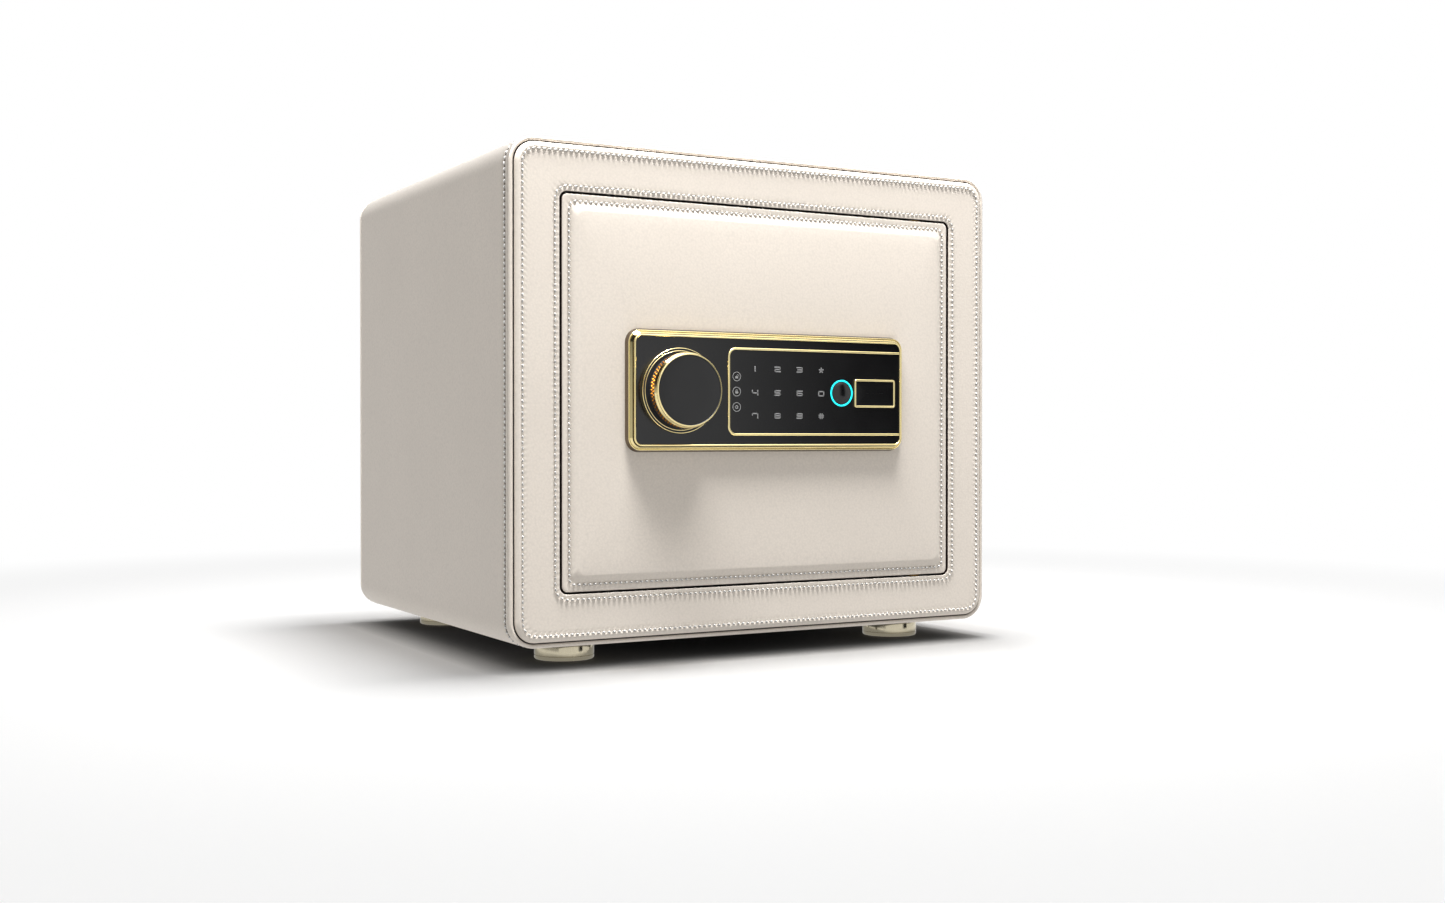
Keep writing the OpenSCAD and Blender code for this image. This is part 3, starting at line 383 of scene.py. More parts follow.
def bonded_thread():
    """Bonded polyester thread, three plies: slanting bands across each stitch, painted bright on one side as
    a highlight and grey on the other as shade.
    """
    props = bpy.context.scene.safe_leather
    material, tree, fibre = new_material("bonded_thread", Roughness=0.3, Specular_IOR_Level=0.8)
    strand = add_node(tree, "ShaderNodeAttribute", attribute_name="strand").outputs["Vector"]
    # Real plies are too fine to show here; the bands are drawn 3 mm wide, so that each stitch shows one
    # painted bright side and one painted shaded side
    lit_and_shaded_bands = add_node(
        tree, "ShaderNodeTexWave", {"Vector": strand, "Scale": 1 / (3 * MM)},
        bands_direction="DIAGONAL").outputs["Fac"]
    blend = add_node(
        tree, "ShaderNodeMix",
        {"Factor": lit_and_shaded_bands, "A": shade(props.thread, 0.4), "B": shade(props.thread, 1.45)}, data_type="RGBA")
    relief = add_node(tree, "ShaderNodeBump", {"Height": lit_and_shaded_bands, "Strength": 0.4, "Distance": 0.1 * MM})
    tree.links.new(blend.outputs["Result"], fibre.inputs["Base Color"])
    tree.links.new(relief.outputs["Normal"], fibre.inputs["Normal"])
    return material


def make_finishes():
    """All the finishes of the safe, by name."""
    lock = bpy.context.scene.safe_lock
    made = {
        # Leather and thread
        "leather": pebbled_leather(),
        "thread": bonded_thread(),
        # Channel pressed in with a hot creaser before sewing: the same hide, smoother, and painted much
        # darker as the shade that falls in the sewn valley
        "creased_and_shaded": grained(
            "creased_cowhide_painted_shade", linear("#8F867B"), linear("#7A7268"), 0.8 * MM, (0.4, 0.5), 0.05 * MM),
        # Brown edge paint, brushed on the turned leather: dull, and painted almost black so that it also
        # stands as shade in the gap around the door
        "edge_paint_and_gap_shade": grained(
            "brown_edge_paint_gap_shade", linear("#33201B"), linear("#1F120F"), 1.2 * MM, (0.5, 0.65), 0.05 * MM),
        # Outer wall of the surround, burnished: a dull grey brown beside the leather
        "brass_wall": grained(
            "burnished_brass_wall", linear("#85786A"), linear("#6E6355"), 0.5 * MM, (0.2, 0.3), 0.01 * MM,
            Metallic=1.0),
        # Plated and buffed: clear bright reflections with a warm tint
        "polished_gold": grained(
            "polished_plated_gold", shade(lock.polished, 1.03), shade(lock.polished, 0.95), 4 * MM,
            (0.07, 0.12), 0.004 * MM, Metallic=1.0),
        # Same plating left rough in the knurl: dark amber pits between small lights
        "amber": grained(
            "knurled_amber_plating", shade(lock.amber, 1.1), shade(lock.amber, 0.7), 1 * MM,
            (0.35, 0.5), 0.02 * MM, Metallic=1.0),
        # Turned and clear-lacquered foot metal: pale, with soft upright bands in colour and gloss; the colour
        # bands are a painted reflection
        "foot_metal": grained(
            "lacquered_champagne_metal", linear("#C8C0A9"), linear("#B9B098"), 0.4 * MM,
            (0.09, 0.15), 0.003 * MM, stretch=(1, 1, 0.1), Metallic=1.0),
        # Back-painted acrylic face: deep black with a faint bloom of handling
        "black_glass": grained(
            "black_acrylic", linear("#0D0D0E"), linear("#09090A"), 18 * MM, (0.14, 0.2), 0.002 * MM,
            Specular_IOR_Level=0.5),
        # Spray-lacquered disc in the knob: soft black with a wide, dim highlight
        "black_lacquer": grained(
            "black_lacquer", linear("#121213"), linear("#0D0D0E"), 9 * MM, (0.26, 0.34), 0.004 * MM),
        # Pad-printed ink: flat pale grey signs
        "print": grained(
            "grey_pad_print", linear("#A2A2A2"), linear("#8A8A8A"), 0.3 * MM, (0.45, 0.6), 0.01 * MM),
        # Moulded ABS with a spark-eroded texture: an even, dull black
        "black_plastic": grained(
            "textured_black_abs", linear("#26272A"), linear("#1B1C1E"), 0.5 * MM, (0.45, 0.6), 0.04 * MM),
        # Powder coat on the door's inner cover and the shell: fine orange peel
        "powder_coat": grained(
            "grey_powder_coat", linear("#54565A"), linear("#46484C"), 0.9 * MM, (0.42, 0.55), 0.05 * MM),
        # Brown-black enamel on the frame and the door's plate, chosen dark so that it stands as painted shade
        # in the gap around the door
        "dark_enamel_and_gap_shade": grained(
            "brown_black_enamel_gap_shade", linear("#1D1210"), linear("#140C0A"), 0.9 * MM, (0.45, 0.6), 0.03 * MM),
        # Needle felt of short fibres: dark and matt with a faint fuzz
        "felt": grained(
            "dark_needle_felt", linear("#4B443F"), linear("#2F2A27"), 0.35 * MM, (0.9, 1.0), 0.3 * MM,
            Sheen_Weight=0.4),
        # Zinc-plated steel: cool silver, a little cloudy, with faint rolling marks
        "zinc": grained(
            "zinc_plated_steel", linear("#C4C6C8"), linear("#A3A6AA"), 1.5 * MM, (0.28, 0.42), 0.01 * MM,
            stretch=(0.2, 1, 1), Metallic=1.0),
        # Ground and chromed bolts: bright with fine grinding lines
        "chrome": grained(
            "ground_chromed_steel", linear("#D4D6D8"), linear("#C2C5C8"), 0.6 * MM, (0.1, 0.2), 0.004 * MM,
            stretch=(0.1, 1, 1), Metallic=1.0),
        # Sintered bronze, oily and pitted: a warm brown with a broken shine
        "bronze": grained(
            "sintered_bronze", linear("#B08D57"), linear("#8C6B3C"), 0.3 * MM, (0.3, 0.45), 0.02 * MM,
            Metallic=1.0),
        # Enamelled copper winding: fine level turns
        "winding": grained(
            "enamelled_copper_winding", linear("#B8622F"), linear("#7A3A1A"), 0.5 * MM, (0.25, 0.4),
            0.1 * MM, stretch=(0.02, 0.02, 1), Metallic=0.6),
        # Solder mask over etched tracks: glossy green with faint raised lines
        "board": grained(
            "solder_mask", linear("#2B7A4E"), linear("#1A5636"), 1.6 * MM, (0.3, 0.4), 0.03 * MM,
            stretch=(0.25, 1, 1)),
        # Shrink sleeve of a cell: smooth blue film
        "cell": grained(
            "shrink_sleeve", linear("#4A7BB5"), linear("#3F6CA2"), 6 * MM, (0.22, 0.3), 0.02 * MM),
        # Flat ribbon of parallel wires: fine grey ridges along its run
        "ribbon": grained(
            "ribbon_cable", linear("#A3A3A3"), linear("#7D7D7D"), 1.2 * MM, (0.4, 0.5), 0.15 * MM,
            stretch=(1, 0.02, 0.02)),
        # Injection-moulded button: even red with a soft shine
        "red_plastic": grained(
            "moulded_red_plastic", linear("#BF4136"), linear("#A8352B"), 0.8 * MM, (0.3, 0.42), 0.02 * MM),
    }
    # Frosted light guide, lit from below: an even blue-green glow
    made["lit_ring"], _, _ = new_material(
        "frosted_light_guide", Base_Color=(*lock.glow, 1.0), Emission_Color=(*lock.glow, 1.0),
        Emission_Strength=0.9, Roughness=0.4)
    return made


FINISHES = {}


# Seams

@dataclass
class Seam:
    """A closed line of stitches or knurls: its points, the way the surface faces there, and their number."""

    points: np.ndarray
    lift: np.ndarray
    count: int

    def share(self):
        """How far along the line each point lies, as a share of the whole."""
        steps = np.linalg.norm(np.roll(self.points, -1, 0) - self.points, axis=1)
        return np.concatenate(((0.0,), np.cumsum(steps)[:-1])) / steps.sum()

    def creases(self):
        """1 at the holes between the stitches and 0 at the middle of each stitch."""
        return 0.5 - 0.5 * np.cos(2 * np.pi * self.share() * self.count)


def make_seam(points, lift):
    """A seam along a line of points, with as many stitches as its pitch gives."""
    length = np.linalg.norm(np.roll(points, -1, 0) - points, axis=1).sum()
    return Seam(points, lift, round(length / bpy.context.scene.safe_leather.pitch))


FRONT_FACING = np.array((0.0, -1.0, 0.0))
# Share of the thread's thickness by which its middle stands above the bottom of the seam
SEWN_UP = 0.7
# How far a stitch leans from its seam, and how far its ends dip as a share of the thread's thickness
STITCH_LEAN = math.radians(7)
STITCH_DIP = 0.45


# The cabinet's leather

PANEL_LOW, PANEL_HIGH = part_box("front_panel")
WRAP_LOW, WRAP_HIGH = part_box("leather_wrap")
DOOR_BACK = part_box("door_cover")[1].y
PAD_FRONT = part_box("door_pad")[0].y

BODY_R = 16 * MM
SKIN_T = 2.4 * MM
PANEL_R = 13.5 * MM
OPENING_R = 5 * MM
BODY = outline_of("leather_wrap", BODY_R)
PANEL = outline_of("front_panel", PANEL_R)
DOOR_GAP = 1.5 * MM
DOOR_R = 3.5 * MM
# The leather fills the gap a little at the top and the bottom
LEATHER_FILL = 0.3 * MM
DOOR_NODE = outline_of("door_cover", DOOR_R)
DOOR = replace(DOOR_NODE, half_h=DOOR_NODE.half_h + LEATHER_FILL)
BORDER_Y = PANEL_LOW.y + 0.1 * MM
PAD_Y = PAD_FRONT - 0.8 * MM
PANEL_W = PANEL.half_w - DOOR_NODE.half_w - DOOR_GAP
OUTER_SEAM = 4.9 * MM
INNER_SEAM = 25.5 * MM
INNER_SEAM_R = 8 * MM
WRAP_SEAM = 10.8 * MM
FRONT_COUNTS = (364, 308, 20)
WRAP_COUNTS = (368, 312, 28)


def panel_radius(inset):
    """Corner radius of the front leather at an inset from its outer edge."""
    stops = (0, OUTER_SEAM, INNER_SEAM, PANEL_W)
    return float(np.interp(inset, stops, (PANEL_R, PANEL_R - OUTER_SEAM, INNER_SEAM_R, OPENING_R)))


def panel_ring(inset, depth):
    """A ring of the front leather at an inset from its outer edge."""
    return ring(PANEL.inset(inset, panel_radius(inset)), FRONT_COUNTS, depth)


def front_seams():
    """The outer and inner lines of stitches on the front of the cabinet."""
    props = bpy.context.scene.safe_leather
    depth = PANEL_LOW.y + props.seam_depth - props.thread_d * SEWN_UP
    lines = [panel_ring(inset, depth) for inset in (OUTER_SEAM, INNER_SEAM)]
    return [make_seam(line, np.broadcast_to(FRONT_FACING, line.shape)) for line in lines]


def front_leather():
    """The padded leather around the door: a rolled outer edge, two sewn lines and a turned-in inner edge."""
    props = bpy.context.scene.safe_leather
    lip, roll_w, roll_d = 0.7 * MM, 4.2 * MM, 2.4 * MM
    crest, crest_at, crest_w = 0.35 * MM, 3.4 * MM, 2 * MM
    turn_w, turn_d = 0.5 * MM, 0.5 * MM
    valley_w, crease_at, crease_w = 0.75 * MM, 1.5 * MM, 1.1 * MM
    outer, inner = front_seams()
    near = np.linspace(-2.6, 3.6, 17) * MM
    insets = np.concatenate((
        lip + (roll_w - lip) * (1 - np.cos(np.linspace(0.1, np.pi / 2, 10))) * 0.6,
        OUTER_SEAM + near, np.linspace(10, 20, 4) * MM, INNER_SEAM - near[::-1],
        PANEL_W - turn_w * (1 - np.sin(np.linspace(0.15, np.pi / 2, 6)))))
    insets = np.unique(np.round(insets, 6))
    rings = [panel_ring(lip + 0.2 * MM, PANEL_HIGH.y), panel_ring(lip, PANEL_LOW.y + roll_d)]
    for inset in insets:
        depth = PANEL_LOW.y - crest * bell(inset - crest_at, crest_w)
        if inset < roll_w:
            into = (inset - lip) / (roll_w - lip)
            depth += roll_d * (1 - math.sqrt(1 - (1 - into) ** 2))
        if inset > PANEL_W - turn_w:
            depth += turn_d * (1 - math.sqrt(max(0, 1 - ((inset - PANEL_W + turn_w) / turn_w) ** 2)))
        depth += props.seam_depth * (
            bell(inset - OUTER_SEAM, valley_w) + bell(inset - INNER_SEAM, valley_w))
        pulls = outer.creases() * bell(inset - OUTER_SEAM - crease_at, crease_w)
        beside = bell(inset - INNER_SEAM - crease_at, crease_w)
        beside = beside + 0.6 * bell(inset - INNER_SEAM + crease_at, crease_w)
        pulls = pulls + inner.creases() * beside
        rings.append(panel_ring(inset, depth + props.pucker * pulls))
    rings += [panel_ring(PANEL_W, PANEL_LOW.y + turn_d), panel_ring(PANEL_W, PANEL_HIGH.y)]
    # The turned inner edge takes the dark edge paint, which also stands as painted shade in the gap
    paints = [0] * (len(rings) - 4) + [1, 1, 1, 0]
    return solid("front_leather", [loft(rings, paints)], ["leather", "edge_paint_and_gap_shade"])


def wrap_ring(drop, depth):
    """A ring of the wrap at a drop below its outer face."""
    return ring(BODY.inset(drop, BODY_R - drop), WRAP_COUNTS, depth)


def outward(outline, counts):
    """The way the outside of a rounded body faces at each point of its outline."""
    step = trace(outline.inset(-1 * MM, outline.radius + 1 * MM), counts) - trace(outline, counts)
    flat = step / np.linalg.norm(step, axis=1)[:, None]
    return np.stack((flat[:, 0], np.zeros(len(flat)), flat[:, 1]), 1)


WRAP_VALLEY = 1.25 * MM


def wrap_seam():
    """The line of stitches that runs around the body behind its front edge."""
    props = bpy.context.scene.safe_leather
    drop = WRAP_VALLEY - props.thread_d * SEWN_UP
    return make_seam(wrap_ring(drop, PANEL_LOW.y + WRAP_SEAM), outward(BODY, WRAP_COUNTS))


def wrap_leather():
    """The leather around the body, with a rolled front edge and a sewn valley behind it."""
    props = bpy.context.scene.safe_leather
    roll, valley_w, channel = 1.4 * MM, 1.7 * MM, 1.5 * MM
    crease_at, crease_w, sewn_reach = 1.6 * MM, 1.3 * MM, 5 * MM
    seam = wrap_seam()
    facing = outward(BODY, WRAP_COUNTS)
    rings = [wrap_ring(SKIN_T, WRAP_LOW.y), wrap_ring(roll, WRAP_LOW.y)]
    rolled = [roll * (1 - math.cos(t)) for t in np.linspace(0, math.pi / 2, 6)]
    depths = [WRAP_LOW.y + d for d in rolled[1:]]
    depths += list(PANEL_LOW.y + WRAP_SEAM + np.linspace(-1, 1, 27) ** 3 * sewn_reach + 0.2 * MM)
    depths += [PANEL_LOW.y + 24 * MM, WRAP_HIGH.y - 2 * MM, WRAP_HIGH.y - 0.8 * MM]
    for depth in depths:
        ahead = depth - PANEL_LOW.y - WRAP_SEAM
        drop = WRAP_VALLEY * bell(ahead, valley_w)
        into = (depth - WRAP_LOW.y) / roll
        if into < 1:
            drop += roll * (1 - math.sqrt(1 - (1 - into) ** 2))
        pulls = seam.creases() * (bell(ahead - crease_at, crease_w) + bell(ahead + crease_at, crease_w))
        rings.append(wrap_ring(drop, depth) - facing * (props.pucker * pulls)[:, None])
    rings += [wrap_ring(0.25 * MM, WRAP_HIGH.y - 0.2 * MM), wrap_ring(0.8 * MM, WRAP_HIGH.y)]
    rings.append(wrap_ring(SKIN_T, WRAP_HIGH.y))
    points, faces, _ = loft(rings)
    under = WRAP_LOW.z + 1.5 * MM
    paints = []
    for face in faces:
        corners = points[face]
        # Faces in the sewn channel take the darker hide: painted shade in the valley
        in_shaded_channel = abs(corners[:, 1].mean() - PANEL_LOW.y - WRAP_SEAM) < channel
        paints.append(1 if corners[:, 2].max() < under else 2 if in_shaded_channel else 0)
    return solid("wrap_leather", [(points, faces, paints)], ["leather", "felt", "creased_and_shaded"])


def piping_bead():
    """The leather bead in the groove between the wrap and the front."""
    low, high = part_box("edge_piping")
    radius = (high.y - low.y) / 2
    middle = (high.y + low.y) / 2
    rings = []
    for out, along in arc((0, 0), radius, 0, 360, 14)[:-1]:
        rings.append(ring(
            BODY.inset(radius - out, BODY_R - radius + out), (60, 50, 28), middle + along))
    return solid("piping_bead", [loft(rings)], ["leather"], sharp=80)


class SAFE_OT_cabinet_leather(bpy.types.Operator):
    """Makes the leather of the cabinet: front, wrap and piping"""

    bl_idname = "safe.cabinet_leather"
    bl_label = "Cabinet leather"

    def execute(self, context):
        place_on(front_leather(), "cabinet", "leather", "front_panel")
        place_on(wrap_leather(), "cabinet", "leather", "leather_wrap")
        place_on(piping_bead(), "cabinet", "leather", "edge_piping")
        return {"FINISHED"}


# The door's leather

FACE = outline_of("face_plate", 4 * MM)
DOOR_SEAM = 4.5 * MM
DOOR_SEAM_R = 4 * MM
DOOR_COUNTS = (312, 256, 12)
PAD_FOOT = DOOR_SEAM + 0.9 * MM
PAD_SLOPE = 5 * MM
PAD_R = 5 * MM


def door_ring(inset, depth):
    """A ring of the door's leather at an inset from the edge of the door."""
    stops = (0, DOOR_SEAM, PAD_FOOT, PAD_FOOT + PAD_SLOPE)
    radius = float(np.interp(inset, stops, (DOOR_R, DOOR_SEAM_R, PAD_R, PAD_R)))
    return ring(DOOR.inset(inset, radius), DOOR_COUNTS, depth)


def door_seam():
    """The line of stitches around the door's padded field."""
    props = bpy.context.scene.safe_leather
    line = door_ring(DOOR_SEAM, BORDER_Y + props.seam_depth - props.thread_d * SEWN_UP)
    return make_seam(line, np.broadcast_to(FRONT_FACING, line.shape))


def door_leather():
    """The door's cover: a flat border, a sewn line, a soft slope and a crowned field around the lock."""
    props = bpy.context.scene.safe_leather
    turn, crown, tuck, dip = 1.1 * MM, 0.5 * MM, 0.6 * MM, 0.35 * MM
    rise, slope_power = BORDER_Y - PAD_Y, 1.6
    seam = door_seam()
    hole = FACE.inset(-0.1 * MM, FACE.radius + 0.1 * MM)
    top = DOOR.inset(PAD_FOOT + PAD_SLOPE, PAD_R)
    rings = [ring(hole, DOOR_COUNTS, DOOR_BACK), ring(hole, DOOR_COUNTS, PAD_Y + tuck)]
    for share in (0.01, 0.03, 0.06, 0.12, 0.2, 0.3, 0.42, 0.55, 0.68, 0.8, 0.9):
        sizes = [(1 - share) * a + share * b for a, b in zip(
            (hole.half_w, hole.half_h, hole.radius, hole.mid_x, hole.mid_z),
            (top.half_w, top.half_h, top.radius, top.mid_x, top.mid_z))]
        puff = crown * math.sin(math.pi * min(1, share * 1.02)) ** 0.7
        rings.append(ring(Outline(*sizes), DOOR_COUNTS, PAD_Y - puff + dip * bell(share, 0.03)))
    for share in np.linspace(0, 1, 14):
        depth = PAD_Y + rise * share ** slope_power
        rings.append(door_ring(PAD_FOOT + PAD_SLOPE * (1 - share), depth))
    for inset in np.linspace(5.2, 1.3, 12) * MM:
        depth = BORDER_Y + props.seam_depth * bell(inset - DOOR_SEAM, 0.7 * MM)
        pulls = seam.creases() * bell(inset - DOOR_SEAM + 1.3 * MM, 0.9 * MM)
        rings.append(door_ring(inset, depth + props.pucker * 0.6 * pulls))
    for turned in np.linspace(0.2, math.pi / 2, 6):
        rings.append(door_ring(
            turn * (1 - math.sin(turned)), BORDER_Y + turn * (1 - math.cos(turned))))
    rings.append(door_ring(0, DOOR_BACK))
    # The turned edge takes the dark edge paint, which also stands as painted shade in the gap
    paints = [0] * (len(rings) - 4) + [1, 1, 1, 0]
    return solid("door_leather", [loft(rings, paints)], ["leather", "edge_paint_and_gap_shade"])


class SAFE_OT_door_leather(bpy.types.Operator):
    """Makes the padded leather of the door"""

    bl_idname = "safe.door_leather"
    bl_label = "Door leather"

    def execute(self, context):
        cover = place_on(door_leather(), "door", "leather", "door_cover", "door_pad")
        return {"FINISHED"}


# Stitching

def new_tree(name, inputs):
    """An empty geometry node tree with its named inputs, and the sockets that give them."""
    tree = bpy.data.node_groups.new(name, "GeometryNodeTree")
    tree.interface.new_socket("Rows", in_out="INPUT", socket_type="NodeSocketGeometry")
    for label, kind in inputs.items():
        type_name = "NodeSocketMaterial" if kind == "MATERIAL" else "NodeSocketFloat"
        socket = tree.interface.new_socket(label, in_out="INPUT", socket_type=type_name)
        if kind != "MATERIAL":
            socket.subtype = kind
    tree.interface.new_socket("Made", in_out="OUTPUT", socket_type="NodeSocketGeometry")
    return tree, add_node(tree, "NodeGroupInput").outputs


def laid_along(tree, rows, shape, slant=0.0):
    """Nodes that lay a shape at each step of every row, its X along the row and its Z out of the surface."""
    line = add_node(tree, "GeometryNodeMeshToCurve", {"Mesh": rows})
    count = add_node(tree, "GeometryNodeInputNamedAttribute", {"Name": "stitches"}, data_type="INT")
    steps = add_node(tree, "GeometryNodeResampleCurve", {"Curve": line, "Count": count})
    lift = add_node(tree, "GeometryNodeInputNamedAttribute", {"Name": "lift"}, data_type="FLOAT_VECTOR")
    along = add_node(tree, "GeometryNodeInputTangent")
    laid = add_node(
        tree, "FunctionNodeAxesToRotation", {"Primary Axis": lift, "Secondary Axis": along},
        primary_axis="Z", secondary_axis="X")
    wander = add_node(
        tree, "FunctionNodeRandomValue", {"Min": -0.05, "Max": 0.05, "Seed": 11}, data_type="FLOAT")
    leaned = add_node(tree, "ShaderNodeMath", {0: slant, 1: wander}, operation="ADD")
    lean = add_node(tree, "ShaderNodeCombineXYZ", {"Z": leaned})
    lean_turn = add_node(tree, "FunctionNodeEulerToRotation", {"Euler": lean})
    turned_so = add_node(
        tree, "FunctionNodeRotateRotation", {"Rotation": laid, "Rotate By": lean_turn},
        rotation_space="LOCAL")
    return add_node(
        tree, "GeometryNodeInstanceOnPoints", {"Points": steps, "Instance": shape, "Rotation": turned_so})


def end_tree(tree, instances, material, smooth):
    """The last nodes of a tree: real meshes with their material."""
    real = add_node(tree, "GeometryNodeRealizeInstances", {"Geometry": instances})
    shaded = add_node(tree, "GeometryNodeSetShadeSmooth", {"Geometry": real, "Shade Smooth": smooth})
    dyed = add_node(tree, "GeometryNodeSetMaterial", {"Geometry": shaded, "Material": material})
    add_node(tree, "NodeGroupOutput", {"Made": dyed})


def stitch_tree():
    """Geometry nodes that lay one bent stitch at each step of every seam."""
    tree, given = new_tree("stitch_rows", {
        "Length": "DISTANCE", "Thickness": "DISTANCE", "Arch": "DISTANCE", "Slant": "ANGLE",
        "Thread": "MATERIAL"})
    bead = add_node(tree, "GeometryNodeMeshUVSphere", {"Segments": 8, "Rings": 6, "Radius": 0.5})
    level = add_node(
        tree, "GeometryNodeTransform", {"Geometry": bead, "Rotation": (0.0, math.pi / 2, 0.0)})
    size = add_node(
        tree, "ShaderNodeCombineXYZ",
        {"X": given["Length"], "Y": given["Thickness"], "Z": given["Thickness"]})
    drawn = add_node(tree, "GeometryNodeTransform", {"Geometry": level, "Scale": size})
    place = add_node(tree, "GeometryNodeInputPosition")
    marked = add_node(
        tree, "GeometryNodeStoreNamedAttribute", {"Geometry": drawn, "Name": "strand", "Value": place},
        data_type="FLOAT_VECTOR")
    across = add_node(tree, "ShaderNodeSeparateXYZ", {"Vector": place}).outputs["X"]
    half = add_node(tree, "ShaderNodeMath", {0: given["Length"], 1: 0.5}, operation="MULTIPLY")
    share = add_node(tree, "ShaderNodeMath", {0: across, 1: half}, operation="DIVIDE")
    square = add_node(tree, "ShaderNodeMath", {0: share, 1: share}, operation="MULTIPLY")
    sink = add_node(tree, "ShaderNodeMath", {0: square, 1: given["Arch"]}, operation="MULTIPLY")
    down = add_node(tree, "ShaderNodeMath", {0: sink, 1: -1.0}, operation="MULTIPLY")
    offset = add_node(tree, "ShaderNodeCombineXYZ", {"Z": down})
    bent = add_node(tree, "GeometryNodeSetPosition", {"Geometry": marked, "Offset": offset})
    sewn = laid_along(tree, given["Rows"], bent, given["Slant"])
    end_tree(tree, sewn, given["Thread"], True)
    return tree


def knurl_tree():
    """Geometry nodes that set a small four-sided point at each step of every row."""
    tree, given = new_tree("knurl_rows", {
        "Width": "DISTANCE", "Height": "DISTANCE", "Plating": "MATERIAL"})
    point = add_node(
        tree, "GeometryNodeMeshCone",
        {"Vertices": 4, "Radius Top": 0.0, "Radius Bottom": given["Width"], "Depth": given["Height"]},
        fill_type="NGON")
    sunk = add_node(
        tree, "GeometryNodeTransform", {"Geometry": point, "Translation": (0.0, 0.0, -0.05 * MM)})
    rows = laid_along(tree, given["Rows"], sunk)
    end_tree(tree, rows, given["Plating"], False)
    return tree


def made_by_nodes(name, mesh, tree, values):
    """A plain mesh object from a mesh run through geometry nodes, with inputs by their names."""
    source = bpy.data.objects.new(name, mesh)
    bpy.context.scene.collection.objects.link(source)
    modifier = source.modifiers.new(name, "NODES")
    modifier.node_group = tree
    for item in tree.interface.items_tree:
        if item.in_out == "INPUT" and item.name in values:
            modifier[item.identifier] = values[item.name]
    depsgraph = bpy.context.evaluated_depsgraph_get()
    plain = bpy.data.meshes.new_from_object(source.evaluated_get(depsgraph))
    if not plain.polygons:
        raise RuntimeError(f"{name}: the nodes made nothing")
    source.modifiers.remove(modifier)
    source.data = plain
    return source


def seam_mesh(seams):
    """Closed lines of points that carry their number of stitches or knurls and the way the surface faces."""
    mesh = bpy.data.meshes.new("seams")
    points = np.concatenate([seam.points for seam in seams])
    edges, counts, start = [], [], 0
    for seam in seams:
        here = np.arange(len(seam.points))
        edges.append(start + np.stack((here, np.roll(here, -1)), 1))
        counts += [seam.count] * len(here)
        start += len(here)
    mesh.from_pydata(points.tolist(), np.concatenate(edges).tolist(), [])
    mesh.attributes.new("stitches", "INT", "POINT").data.foreach_set("value", counts)
    lift = np.concatenate([seam.lift for seam in seams]).astype(np.float32)
    mesh.attributes.new("lift", "FLOAT_VECTOR", "POINT").data.foreach_set("vector", lift.ravel())
    return mesh


class SAFE_OT_stitching(bpy.types.Operator):
    """Sews the lines of stitches on the cabinet and on the door"""

    bl_idname = "safe.stitching"
    bl_label = "Stitching"

    def execute(self, context):
        props = context.scene.safe_leather
        tree = stitch_tree()
        values = {
            "Length": props.stitch, "Thickness": props.thread_d, "Arch": STITCH_DIP * props.thread_d,
            "Slant": STITCH_LEAN, "Thread": FINISHES["thread"]}
        rows = {"cabinet": front_seams() + [wrap_seam()], "door": [door_seam()]}
        for body, seams in rows.items():
            sewn = made_by_nodes(f"{body}_stitching", seam_mesh(seams), tree, values)
            place_on(sewn, body, "leather")
        return {"FINISHED"}


# The lock panel

FACE_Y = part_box("face_plate")[0].y
LOCK_COUNTS = (6, 4, 14)


def face_point(out, depth):
    """A ring around the lock's black face, at a distance out from its edge and a depth behind its front."""
    return ring(FACE.inset(-out * MM, FACE.radius + out * MM), LOCK_COUNTS, FACE_Y + depth * MM)


def bezel():
    """The surround: a bright lip, a dark step, a steep band, a fine ridge and a wall down to the leather; the
    step, the line before the ridge and the wall's foot are painted black as shade.
    """
    bright, dark, pale = 0, 1, 2
    under = (PAD_Y - FACE_Y) / MM + 0.6
    steps = [(0.1, under, bright)]
    steps += [(*point, bright) for point in arc((0.7, -0.3), 0.6, 180, 350, 10)]
    # The step behind the lip and the line before the ridge are painted black: painted shade in the grooves
    steps += [(1.35, 0.0, dark), (1.4, 0.9, dark), (1.8, 0.8, bright), (2.4, 1.42, bright), (3.0, 2.05, dark)]
    steps += [(*point, bright) for point in arc((3.45, 2.2), 0.35, 180, 340, 6)]
    # The wall's foot is painted black: painted shade where the wall meets the leather
    steps += [(3.8, 2.5, pale), (4.3, 4.0, pale), (4.75, 5.4, dark), (5.2, 5.9, dark), (5.4, under, dark)]
    rings = [face_point(out, depth) for out, depth, _ in steps]
    shell = loft(rings, [paint for _, _, paint in steps])
    return solid("lock_surround", [shell], ["polished_gold", "black_glass", "brass_wall"])


def keypad_line():
    """The half-round line around the keypad, open towards the right."""
    low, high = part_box("keypad_trim")
    half, rise, bend = 0.75 * MM, FACE_Y - low.y, 5 * MM
    left, right, bottom, top = low.x + half, high.x, low.z + half, high.z - half
    path = [((right, top), (0.0, 1.0))]
    for mid_z, start in ((top - bend, 90), (bottom + bend, 180)):
        turns = arc((0.0, 0.0), 1.0, start, start + 90, 10)
        path += [((left + bend + bend * c, mid_z + bend * s), (c, s)) for c, s in turns]
    path.append(((right, bottom), (0.0, -1.0)))
    section = arc((0.0, 0.0), (half, rise), 0, 180, 10)
    rings = [
        np.array([(x + c * out, FACE_Y - up, z + s * out) for out, up in section])
        for (x, z), (c, s) in path]
    return solid("keypad_line", [loft(rings, closed=False)], ["polished_gold"], sharp=60)


